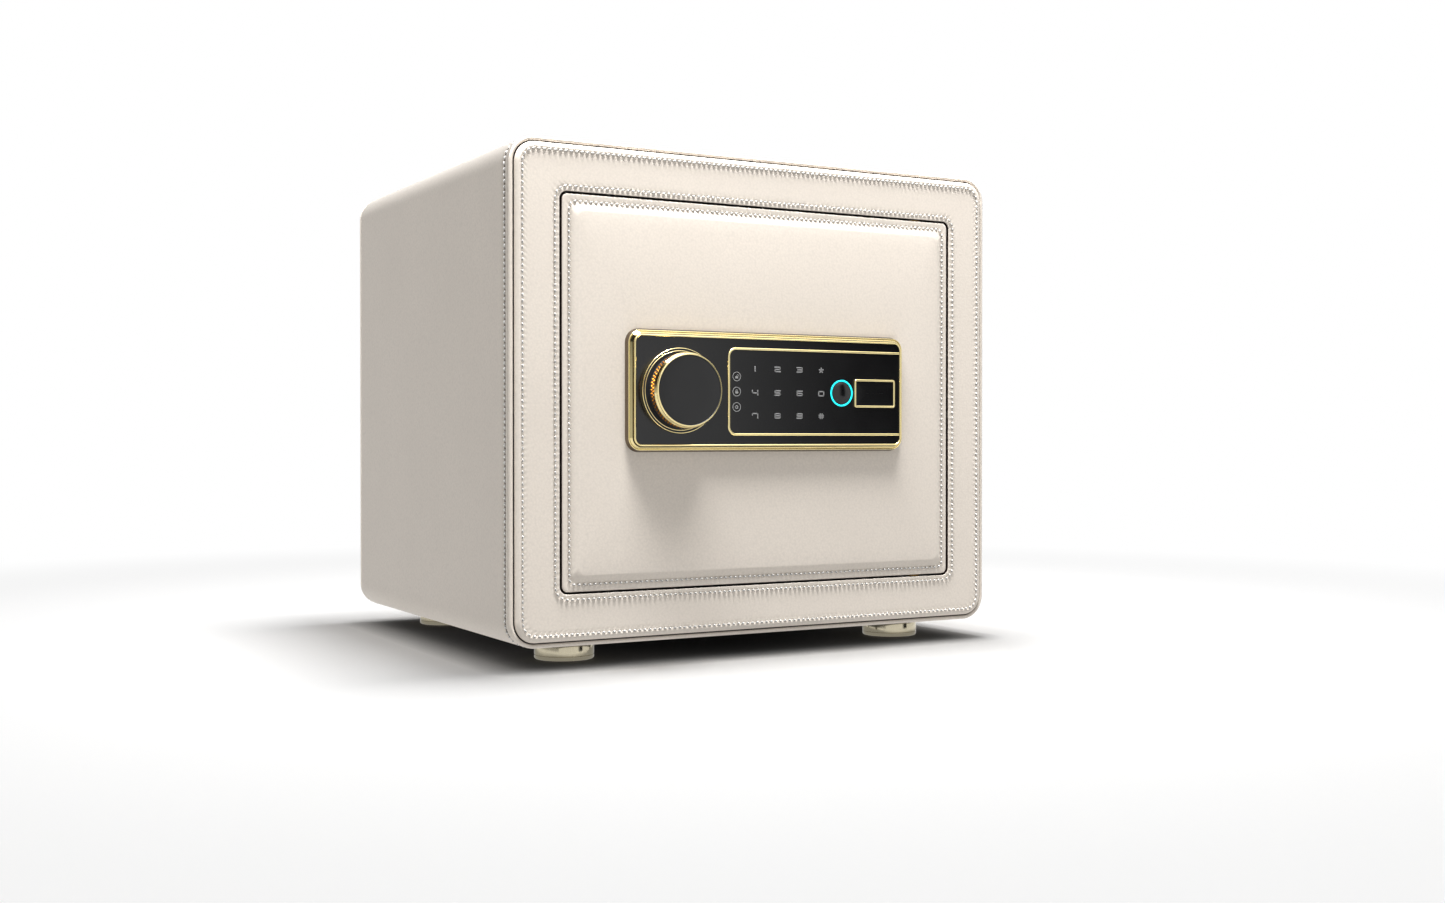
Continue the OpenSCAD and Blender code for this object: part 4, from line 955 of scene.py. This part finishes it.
def fingerprint_parts():
    """The lit ring and the dished black disc of the fingerprint reader."""
    low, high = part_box("fingerprint_ring")
    middle = (low + high) / 2
    rounded = [(7.5, 0), (7.5, -0.2), (7.65, -0.3), (8.35, -0.3), (8.5, -0.2), (8.5, 0)]
    lit = lathe([(r * MM, FACE_Y + d * MM) for r, d in rounded], middle)
    dish = [(0.02, 3.0), (7.0, 3.0), (7.0, 0.0), (6.85, -0.1), (0.02, -0.1)]
    disc = lathe([(r * MM, FACE_Y + d * MM) for r, d in dish], middle)
    return solid("lit_light_guide", [lit], ["lit_ring"]), solid("reader_disc", [disc], ["black_glass"])


class SAFE_OT_lock_panel(bpy.types.Operator):
    """Makes the metal surround, the keypad's line and the fingerprint reader of the lock panel"""

    bl_idname = "safe.lock_panel"
    bl_label = "Lock panel"

    def execute(self, context):
        place_on(bezel(), "door", "gold", "lock_bezel")
        place_on(keypad_line(), "door", "bright_gold", "keypad_trim")
        guide, disc = fingerprint_parts()
        place_on(guide, "door", "lit_ring", "fingerprint_ring")
        place_on(disc, "door", "black_gloss", "fingerprint_sensor")
        return {"FINISHED"}


# Printed marks of the keypad

# Strokes of each sign between points of a square of side 2 around the middle
SIGNS = {
    "1": ["0,1 0,-1"],
    "2": ["-1,1 1,1 1,0 -1,0 -1,-1 1,-1"],
    "3": ["-1,1 1,1 1,-1 -1,-1", "-0.7,0 1,0"],
    "4": ["-1,1 -1,-0.1 1,-0.1", "1,1 1,-1"],
    "5": ["1,1 -1,1 -1,0 1,0 1,-1 -1,-1"],
    "6": ["1,1 -1,1 -1,-1 1,-1 1,0 -1,0"],
    "7": ["-1,0.4 -1,1 1,1 1,-1"],
    "8": ["-1,1 1,1 1,-1 -1,-1 -1,1", "-1,0 1,0"],
    "9": ["1,0 -1,0 -1,1 1,1 1,-1 -1,-1"],
    "0": ["-1,1 1,1 1,-1 -1,-1 -1,1"],
    "*": ["0,0 0,1", "0,0 0.9,0.3", "0,0 -0.9,0.3", "0,0 0.6,-0.9", "0,0 -0.6,-0.9"],
    "#": ["-0.45,1 -0.45,-1", "0.45,1 0.45,-1", "-1,0.4 1,0.4", "-1,-0.4 1,-0.4"],
}
KEY_ROWS = ("123*", "4560", "789#")
KEY_COLUMNS = (-13.5 * MM, 3.0 * MM, 19.4 * MM, 35.7 * MM)
KEY_LEVELS = (14.4 * MM, -0.5 * MM, -14.9 * MM)
ICON_X = -26.75 * MM
ICON_LEVELS = (9.4 * MM, 0.0, -9.6 * MM)
ICON_R = 2.75 * MM
KEYHOLE_R = 0.85 * MM
INK_T = 0.04 * MM
INK_ROOT = 0.1 * MM
STROKE_W = 0.72 * MM


def ink_bar(start, stop, width):
    """A printed stroke on the lock's face."""
    return bar(start, stop, width, FACE_Y - INK_T, FACE_Y + INK_ROOT)


def ink_ring(middle, radius, width):
    """A printed circle on the lock's face."""
    sides = [(radius - width / 2, INK_ROOT), (radius - width / 2, -INK_T)]
    sides += [(radius + width / 2, -INK_T), (radius + width / 2, INK_ROOT)]
    return lathe([(r, FACE_Y + d) for r, d in sides], (middle[0], 0, middle[1]), around=40)


def ink_sign(sign, middle, half_w, half_h, width):
    """The printed strokes of one digit or sign."""
    strokes = []
    for line in SIGNS[sign]:
        points = [[float(v) for v in pair.split(",")] for pair in line.split()]
        placed = [np.array((middle[0] + u * half_w, middle[1] + v * half_h)) for u, v in points]
        for start, stop in zip(placed, placed[1:]):
            over = (stop - start) / np.linalg.norm(stop - start) * width / 2
            strokes.append(ink_bar(start - over, stop + over, width))
    return strokes


def ink_padlock(middle, is_open):
    """A printed padlock in its circle."""
    x, z = middle
    strokes = [ink_bar((x - 1.0 * MM, z - 0.55 * MM), (x + 1.0 * MM, z - 0.55 * MM), 1.3 * MM)]
    aside = 0.75 * MM if is_open else 0
    bow = [(x + aside + a, z + 0.15 * MM + b) for a, b in arc((0, 0), (0.62 * MM, 1.1 * MM), 0, 180, 6)]
    strokes += [ink_bar(start, stop, 0.32 * MM) for start, stop in zip(bow, bow[1:])]
    return strokes


class SAFE_OT_keypad_marks(bpy.types.Operator):
    """Prints the digits, the signs and the three small pictures of the keypad"""

    bl_idname = "safe.keypad_marks"
    bl_label = "Keypad marks"

    def execute(self, context):
        height = context.scene.safe_lock.digit
        half = 0.66 * height - STROKE_W / 2, 0.5 * height - STROKE_W / 2
        shells = []
        for level, row in zip(KEY_LEVELS, KEY_ROWS):
            for column, sign in zip(KEY_COLUMNS, row):
                wide = half[0] if sign not in "*#" else half[1] * 1.1
                shells += ink_sign(sign, (column, FACE.mid_z + level), wide, half[1], STROKE_W)
        for level in ICON_LEVELS:
            shells.append(ink_ring((ICON_X, FACE.mid_z + level), ICON_R, 0.4 * MM))
        for level, is_open in zip(ICON_LEVELS, (True, False)):
            shells += ink_padlock((ICON_X, FACE.mid_z + level), is_open)
        shells.append(ink_ring((ICON_X, FACE.mid_z + ICON_LEVELS[2]), KEYHOLE_R, 0.5 * MM))
        place_on(solid("keypad_marks", shells, ["print"]), "door", "black_gloss")
        return {"FINISHED"}


# The small plate

def key_plate():
    """The bare plate over the key lock: a gold frame, a black field and two pegs behind it."""
    gold, black = 0, 1
    low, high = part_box("key_cover")
    frame_w, frame_t, peg_r, peg_x = 1.3 * MM, 0.4 * MM, 0.92 * MM, 12.5 * MM
    edge = outline_of("key_cover", 1.6 * MM)
    front, back = low.y, FACE_Y - 0.05 * MM
    steps = [(0, back, gold), (0, front + frame_t, gold)]
    steps += [
        (frame_w / 2 * (1 - math.cos(t)), front + frame_t * (1 - math.sin(t)), gold)
        for t in np.linspace(0.25, math.pi - 0.25, 9)]
    steps += [(frame_w, front + frame_t, gold), (frame_w, front + 0.55 * MM, black)]
    steps += [(edge.half_h * share, front + 0.5 * MM, black) for share in (0.25, 0.999)]
    rings = []
    for inset, depth, _ in steps:
        radius = max(edge.radius - inset, 1e-6)
        rings.append(ring(edge.inset(inset, radius), (4, 4, 8), depth))
    paints = [paint for _, _, paint in steps]
    rings.append(ring(edge.inset(edge.half_h * 0.999, 1e-6), (4, 4, 8), back))
    shells = [loft(rings, [*paints[:-1], black, gold])]
    for side in (-1, 1):
        pin = [(1e-6, FACE_Y - 0.2 * MM), (peg_r, FACE_Y - 0.2 * MM), (peg_r, high.y - 0.3 * MM)]
        pin += [(peg_r - 0.3 * MM, high.y), (1e-6, high.y)]
        shells.append(lathe(pin, (edge.mid_x + side * peg_x, 0, edge.mid_z), around=20))
    return solid("bare_plate", shells, ["polished_gold", "black_glass"])


class SAFE_OT_key_plate(bpy.types.Operator):
    """Makes the small bare plate over the key lock"""

    bl_idname = "safe.key_plate"
    bl_label = "Key plate"

    def execute(self, context):
        place_on(key_plate(), "key_plate", "bright_gold", "key_cover")
        return {"FINISHED"}


# The knob

KNOB_LOW, KNOB_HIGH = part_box("knob_grip")
KNOB_MID = (KNOB_LOW + KNOB_HIGH) / 2
KNURL_R = 22.3 * MM
# Depths of the two rows, in mm from the lock's face
KNURL_LEVELS = (-6.7, -9.0)
# Half the width of a knurl as a share of the distance between two
KNURL_SHARE = 0.36


def turned(name, steps, finishes):
    """A piece turned about the knob's axis from radii and depths in mm and a finish for each step."""
    profile = [(r * MM, FACE_Y + d * MM) for r, d, _ in steps]
    shell = lathe(profile, KNOB_MID, around=128, paints=[paint for _, _, paint in steps])
    return solid(name, [shell], finishes, sharp=35)


def knob_ring():
    """The ring under the knob: a rounded edge and a fine bead with dark grooves beside it, painted black as
    shade.
    """
    gold, dark = 0, 1
    steps = [(4.3, 0, gold), (26.2, 0, gold), (26.2, -1.1, gold)]
    steps += [(*point, gold) for point in arc((25.8, -1.1), (0.4, 0.9), 0, -90, 5)]
    steps += [(25.6, -1.95, dark), (25.5, -1.3, dark), (24.5, -1.3, dark)]
    steps += [(*point, gold) for point in arc((24.1, -1.4), 0.4, 0, -180, 6)]
    steps += [(23.6, -1.3, dark), (4.3, -1.3, gold)]
    return turned("knob_base_ring", steps, ["polished_gold", "black_plastic"])


def knob_body():
    """The grip: a dark neck, a dark band for the knurl, a conical collar and a bright rim; the neck and the
    band are black plastic, painted dark also as the shade in the undercut and between the knurls.
    """
    gold, dark = 0, 1
    steps = [(4.2, -2.4, dark), (19.8, -2.4, dark), (19.8, -3.8, dark)]
    steps += [(*point, dark) for point in arc((21.9, -4.4), 0.6, 90, 0, 4)]
    steps += [(22.3, -5.4, dark), (22.3, -10.4, gold), (22.9, -10.7, gold)]
    steps += [(23, -11.4, gold), (22.15, -12.7, gold)]
    steps += [(*point, gold) for point in arc((21.75, -13.2), (0.5, 0.8), 0, -90, 5)]
    steps += [(21.3, -14.0, dark), (21.1, -13.8, dark), (21.1, -13.0, dark), (4.2, -13.0, dark)]
    return turned("knob_turned_grip", steps, ["polished_gold", "black_plastic"])


def knob_disc():
    """The black disc in the knob's front, barely dished."""
    low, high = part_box("knob_cap")
    front, back = (low.y - FACE_Y) / MM, (high.y - FACE_Y) / MM
    steps = [(0.02, back, 0), (20.98, back, 0), (20.98, front + 0.2, 0), (20.8, front, 0)]
    steps += [(20.2, front + 0.05, 0), (10, front + 0.12, 0), (0.02, front + 0.15, 0)]
    return turned("knob_disc", steps, ["black_lacquer"])


class SAFE_OT_knob(bpy.types.Operator):
    """Makes the knob, its knurl and the ring under it"""

    bl_idname = "safe.knob"
    bl_label = "Knob"

    def execute(self, context):
        props = context.scene.safe_lock
        place_on(knob_ring(), "door", "bright_gold", "knob_ring")
        place_on(knob_body(), "knob", "bright_gold", "knob_grip")
        place_on(knob_disc(), "knob", "black_gloss", "knob_cap")
        rows = []
        for k, level in enumerate(KNURL_LEVELS):
            turn = (np.arange(props.knurls) + 0.5 * (k % 2)) / props.knurls * 2 * np.pi
            out = np.stack((np.cos(turn), np.zeros(props.knurls), np.sin(turn)), 1)
            middle = np.array((KNOB_MID.x, FACE_Y + level * MM, KNOB_MID.z))
            rows.append(Seam(middle + KNURL_R * out, out, props.knurls))
        pitch = 2 * np.pi * KNURL_R / props.knurls
        values = {"Width": KNURL_SHARE * pitch, "Height": props.knurl, "Plating": FINISHES["amber"]}
        knurl = made_by_nodes("knob_knurl", seam_mesh(rows), knurl_tree(), values)
        place_on(knurl, "knob", "bright_gold")
        return {"FINISHED"}


# The feet

def feet():
    """Four round feet: a plain wall over a fine groove and a bevelled lower ring."""
    low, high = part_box("feet")
    radius, bottom, top = 18.5 * MM, low.z, high.z
    steps = [(0, 0), (17.8, 0), (18.35, 0.4), (18.5, 0.8), (18.5, 2.4), (18.2, 2.55), (18.2, 2.75)]
    steps += [(18.5, 2.9), (18.5, 11.6), (18.3, 12.0), (0, 12.0)]
    profile = [(max(r, 0.02) * MM, bottom + up * MM) for r, up in steps]
    shells = [
        lathe(profile, (x, y, 0), axis="Z", around=72)
        for x in (low.x + radius, high.x - radius) for y in (low.y + radius, high.y - radius)]
    return solid("turned_feet", shells, ["foot_metal"], sharp=30)


class SAFE_OT_feet(bpy.types.Operator):
    """Makes the four turned feet"""

    bl_idname = "safe.feet"
    bl_label = "Feet"

    def execute(self, context):
        place_on(feet(), "cabinet", "foot_metal", "feet")
        return {"FINISHED"}


# Finishes of the pieces that keep their frame mesh

WORKS = {
    "powder_coat": ("steel_shell", "back_plate", "inner_cover", "hinge_bosses"),
    "dark_enamel_and_gap_shade": ("front_frame", "door_jamb", "door_plate"),
    "felt": (
        "lining_floor", "lining_roof", "lining_left", "lining_right", "lining_back", "foot_pads"),
    "leather": ("back_cover",),
    "black_glass": ("face_plate",),
    "black_plastic": ("lock_base", "battery_holder", "battery_cover", "buzzer"),
    "zinc": (
        "hinge_blocks", "bolt_guides", "guide_posts", "cover_posts", "cover_screws", "foot_screws",
        "hinge_pins", "solenoid_bracket", "key_cylinder", "key_nut", "spindle", "cam_plate", "bolt_bar",
        "solenoid_plunger", "key_cam"),
    "chrome": ("fixed_bolts", "locking_bolts"),
    "bronze": ("hinge_washers", "spindle_bush", "board_standoffs", "key_plug"),
    "winding": ("solenoid_coil",),
    "board": ("keypad_board", "control_board"),
    "cell": ("battery_cells",),
    "ribbon": ("ribbon_cable",),
    "red_plastic": ("reset_button",),
}


class SAFE_OT_works(bpy.types.Operator):
    """Gives each steel, felt and lock piece that keeps its frame mesh a finish of its own"""

    bl_idname = "safe.works"
    bl_label = "Works"

    def execute(self, context):
        for finish, nodes in WORKS.items():
            for node in nodes:
                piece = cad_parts[node]
                piece.data.materials.clear()
                piece.data.materials.append(FINISHES[finish])
        return {"FINISHED"}


# The stage

AIM = Vector((0.0, 0.0, 0.16))
# Place and size of each soft light
LIGHTS = {
    "key_light": ((-0.18, -0.31, 1.35), (0.8, 0.24)),
    "right_strip": ((1.25, -0.42, 0.30), (0.25, 0.9)),
    "left_fill": ((-1.15, 0.35, 0.75), (0.9, 0.9)),
    "top_light": ((0.11, 0.02, 1.45), (0.4, 0.4)),
    "roof_light": ((-0.17, 0.02, 1.45), (0.3, 0.4)),
}
# The roof gets a weaker light of its own, so that it doesn't clip to white
ROOF_SHARE = 0.625


class SAFE_OT_stage(bpy.types.Operator):
    """Sets the floor, the light and the camera"""

    bl_idname = "safe.stage"
    bl_label = "Stage"

    def execute(self, context):
        props = context.scene.safe_stage
        context.scene.view_settings.view_transform = "Standard"
        set_camera(props)
        set_world(props)
        floor = set_floor(props)
        powers = {
            "key_light": props.key, "right_strip": props.rim, "left_fill": props.fill,
            "top_light": props.top, "roof_light": ROOF_SHARE * props.top}
        lights = {name: set_light(name, *LIGHTS[name], power) for name, power in powers.items()}
        lights["right_strip"].visible_glossy = False
        wrap = bpy.data.objects["wrap_leather"]
        choose(lights["key_light"], "EXCLUDE", floor, wrap)
        choose(lights["right_strip"], "EXCLUDE", floor)
        choose(lights["left_fill"], "EXCLUDE", floor)
        choose(lights["top_light"], "EXCLUDE", wrap)
        choose(lights["roof_light"], "INCLUDE", wrap)
        set_card("right_flag", (0.79, -1.46, 0.25), (1.0, 1.3), "X", (-0.18, 0.18), (0.0, 1.05))
        set_card("left_flag", (-1.2, 0.0, 1.55), (2.4, 3.0), "Z", (-1.45, -1.05), (0.5, 0.03))
        return {"FINISHED"}


def set_camera(props):
    """The camera, level with the lower half of the safe and to its left."""
    lens = bpy.data.cameras.new("camera")
    lens.lens = props.lens
    lens.sensor_width = 36.0
    lens.sensor_fit = "HORIZONTAL"
    lens.clip_start = 0.01
    camera = bpy.data.objects.new("camera", lens)
    camera.location = props.camera
    camera.rotation_euler = (math.pi / 2 + props.pitch, 0.0, -props.heading)
    bpy.context.scene.collection.objects.link(camera)
    bpy.context.scene.camera = camera


def seen_directly(tree):
    """1 for rays from the camera, off a gloss or through glass, and 0 for the light itself."""
    path = add_node(tree, "ShaderNodeLightPath").outputs
    gloss = add_node(
        tree, "ShaderNodeMath", {0: path["Is Camera Ray"], 1: path["Is Glossy Ray"]}, operation="MAXIMUM")
    return add_node(
        tree, "ShaderNodeMath", {0: gloss, 1: path["Is Transmission Ray"]}, operation="MAXIMUM")


WHITE = (1.0, 1.0, 1.0, 1.0)
# Light at the horizon as a share of that overhead
HORIZON_SHARE = 0.08
# Light overhead that gloss alone shows, and the share of it towards the right
OVERHEAD_SHINE = 4.0
RIGHT_SHARE = 0.25


def set_world(props):
    """A white surround that lights the safe at a plain level, more from overhead than from the horizon."""
    world = bpy.data.worlds.new("studio")
    world.use_nodes = True
    tree = world.node_tree
    tree.nodes.clear()
    way = add_node(tree, "ShaderNodeNewGeometry").outputs["Position"]
    across, _, height = add_node(tree, "ShaderNodeSeparateXYZ", {"Vector": way}).outputs
    level = add_node(
        tree, "ShaderNodeMapRange",
        {"Value": height, "From Max": 0.6, "To Min": HORIZON_SHARE * props.sky, "To Max": props.sky})
    even = add_node(tree, "ShaderNodeBackground", {"Color": WHITE, "Strength": level})
    above = add_node(
        tree, "ShaderNodeMapRange",
        {"Value": height, "From Min": 0.3, "From Max": 0.85, "To Max": OVERHEAD_SHINE})
    aside = add_node(
        tree, "ShaderNodeMapRange",
        {"Value": across, "From Min": 0.4, "From Max": 0.65, "To Min": 1.0, "To Max": RIGHT_SHARE})
    shine = add_node(tree, "ShaderNodeMath", {0: above, 1: aside}, operation="MULTIPLY")
    bright = add_node(tree, "ShaderNodeMath", {0: shine, 1: 1.0}, operation="ADD")
    white = add_node(tree, "ShaderNodeBackground", {"Color": WHITE, "Strength": bright})
    mixed = add_node(tree, "ShaderNodeMixShader", {0: seen_directly(tree), 1: even, 2: white})
    add_node(tree, "ShaderNodeOutputWorld", {"Surface": mixed})
    bpy.context.scene.world = world


# Distances from the middle of the floor over which it starts to throw light up and turns white
BOUNCE_FROM = (0.1, 0.17)
WHITE_FROM = (0.55, 1.0)
# Width of the darker shadow close to the safe, and the share of light that stays in it
CONTACT_W = 0.027
CONTACT_SHARE = 0.2
# How far the floor is whitened where it shows in gloss
GLOSS_WHITE = 0.4


def set_floor(props):
    """A floor that keeps the shadow near the safe, turns white further off and throws light back up."""
    reach = 6.0
    mesh = bpy.data.meshes.new("floor")
    mesh.from_pydata(
        [(-reach, -reach, 0), (reach, -reach, 0), (reach, reach, 0), (-reach, reach, 0)], [], [(0, 1, 2, 3)])
    floor = bpy.data.objects.new("floor", mesh)
    bpy.context.scene.collection.objects.link(floor)
    material = bpy.data.materials.new("white_floor")
    material.use_nodes = True
    tree = material.node_tree
    tree.nodes.clear()
    where = add_node(tree, "ShaderNodeTexCoord").outputs["Object"]
    away = add_node(tree, "ShaderNodeVectorMath", {0: where}, operation="LENGTH").outputs["Value"]
    clear = add_node(
        tree, "ShaderNodeMapRange",
        {"Value": away, "From Min": BOUNCE_FROM[0], "From Max": BOUNCE_FROM[1], "To Max": props.bounce},
        interpolation_type="SMOOTHSTEP")
    bounce = add_node(tree, "ShaderNodeEmission", {"Color": WHITE, "Strength": clear})
    far = add_node(
        tree, "ShaderNodeMapRange", {"Value": away, "From Min": WHITE_FROM[0], "From Max": WHITE_FROM[1]},
        interpolation_type="SMOOTHSTEP")
    free = add_node(tree, "ShaderNodeAmbientOcclusion", {"Distance": CONTACT_W}, samples=8).outputs["AO"]
    close = add_node(tree, "ShaderNodeMath", {0: free, 1: free}, operation="MULTIPLY")
    contact = add_node(tree, "ShaderNodeMapRange", {"Value": close, "To Min": CONTACT_SHARE})
    paint = add_node(tree, "ShaderNodeBsdfDiffuse", {"Color": contact})
    white = add_node(tree, "ShaderNodeEmission", {"Color": WHITE, "Strength": 1.0})
    gloss = add_node(tree, "ShaderNodeLightPath").outputs["Is Glossy Ray"]
    whitened = add_node(tree, "ShaderNodeMath", {0: gloss, 1: GLOSS_WHITE}, operation="MULTIPLY")
    pale = add_node(tree, "ShaderNodeMath", {0: far, 1: whitened}, operation="MAXIMUM")
    shown = add_node(tree, "ShaderNodeMixShader", {0: pale, 1: paint, 2: white})
    mixed = add_node(tree, "ShaderNodeMixShader", {0: seen_directly(tree), 1: bounce, 2: shown})
    add_node(tree, "ShaderNodeOutputMaterial", {"Surface": mixed})
    mesh.materials.append(material)
    return floor


def choose(light, state, *objects):
    """Keeps a light off some objects or on them alone: the shadow stays dark and the roof unclipped."""
    chosen = bpy.data.collections.new(f"{light.name}_chosen")
    for k, one in enumerate(objects):
        chosen.objects.link(one)
        chosen.collection_objects[k].light_linking.link_state = state
    light.light_linking.receiver_collection = chosen


def set_card(name, place, size, axis, span, tones):
    """An upright card that faces the safe, shows in gloss alone and blends two tones along an axis."""
    mesh = bpy.data.meshes.new(name)
    corners = [(-1, 0, -1), (1, 0, -1), (1, 0, 1), (-1, 0, 1)]
    mesh.from_pydata([(size[0] / 2 * x, y, size[1] / 2 * z) for x, y, z in corners], [], [(0, 1, 2, 3)])
    card = bpy.data.objects.new(name, mesh)
    card.location = place
    card.rotation_euler = (0.0, 0.0, math.atan2(AIM.x - place[0], place[1] - AIM.y))
    for way in ("camera", "diffuse", "shadow", "transmission", "volume_scatter"):
        setattr(card, f"visible_{way}", False)
    bpy.context.scene.collection.objects.link(card)
    material = bpy.data.materials.new(f"{name}_board")
    material.use_nodes = True
    tree = material.node_tree
    tree.nodes.clear()
    where = add_node(tree, "ShaderNodeTexCoord").outputs["Object"]
    along = add_node(tree, "ShaderNodeSeparateXYZ", {"Vector": where}).outputs[axis]
    tone = add_node(
        tree, "ShaderNodeMapRange",
        {"Value": along, "From Min": span[0], "From Max": span[1], "To Min": tones[0], "To Max": tones[1]},
        interpolation_type="SMOOTHSTEP")
    shine = add_node(tree, "ShaderNodeEmission", {"Color": tone, "Strength": 1.0})
    add_node(tree, "ShaderNodeOutputMaterial", {"Surface": shine})
    mesh.materials.append(material)


def set_light(name, place, size, power):
    """A rectangular soft light that faces the safe."""
    lamp = bpy.data.lights.new(name, "AREA")
    lamp.shape = "RECTANGLE"
    lamp.size, lamp.size_y = size
    lamp.energy = power
    light = bpy.data.objects.new(name, lamp)
    light.location = place
    light.rotation_euler = (AIM - light.location).to_track_quat("-Z", "Y").to_euler()
    bpy.context.scene.collection.objects.link(light)
    return light


class SAFE_PT_looks(bpy.types.Panel):
    """Lists the steps that dress the safe"""

    bl_label = "Safe"
    bl_idname = "SAFE_PT_looks"
    bl_space_type = "VIEW_3D"
    bl_region_type = "UI"
    bl_category = "Safe"

    def draw(self, context):
        """One button for each step."""
        for step in STEPS:
            self.layout.operator(step.bl_idname)


GROUPS = {"safe_leather": SafeLeather, "safe_lock": SafeLock, "safe_stage": SafeStage}
STEPS = (
    SAFE_OT_cabinet_leather, SAFE_OT_door_leather, SAFE_OT_stitching, SAFE_OT_lock_panel,
    SAFE_OT_keypad_marks, SAFE_OT_key_plate, SAFE_OT_knob, SAFE_OT_feet, SAFE_OT_works, SAFE_OT_stage,
)
CLASSES = (*GROUPS.values(), *STEPS, SAFE_PT_looks)


def register():
    """Makes the classes and their settings known to Blender."""
    for one in CLASSES:
        bpy.utils.register_class(one)
    for name, group in GROUPS.items():
        setattr(bpy.types.Scene, name, PointerProperty(type=group))


def unregister():
    """Takes the settings and the classes away again."""
    for name in GROUPS:
        delattr(bpy.types.Scene, name)
    for one in reversed(CLASSES):
        bpy.utils.unregister_class(one)


def main():
    """Dresses the safe step by step."""
    register()
    FINISHES.update(make_finishes())
    for step in STEPS:
        group, name = step.bl_idname.split(".")
        getattr(getattr(bpy.ops, group), name)()


if __name__ == "__main__":
    main()
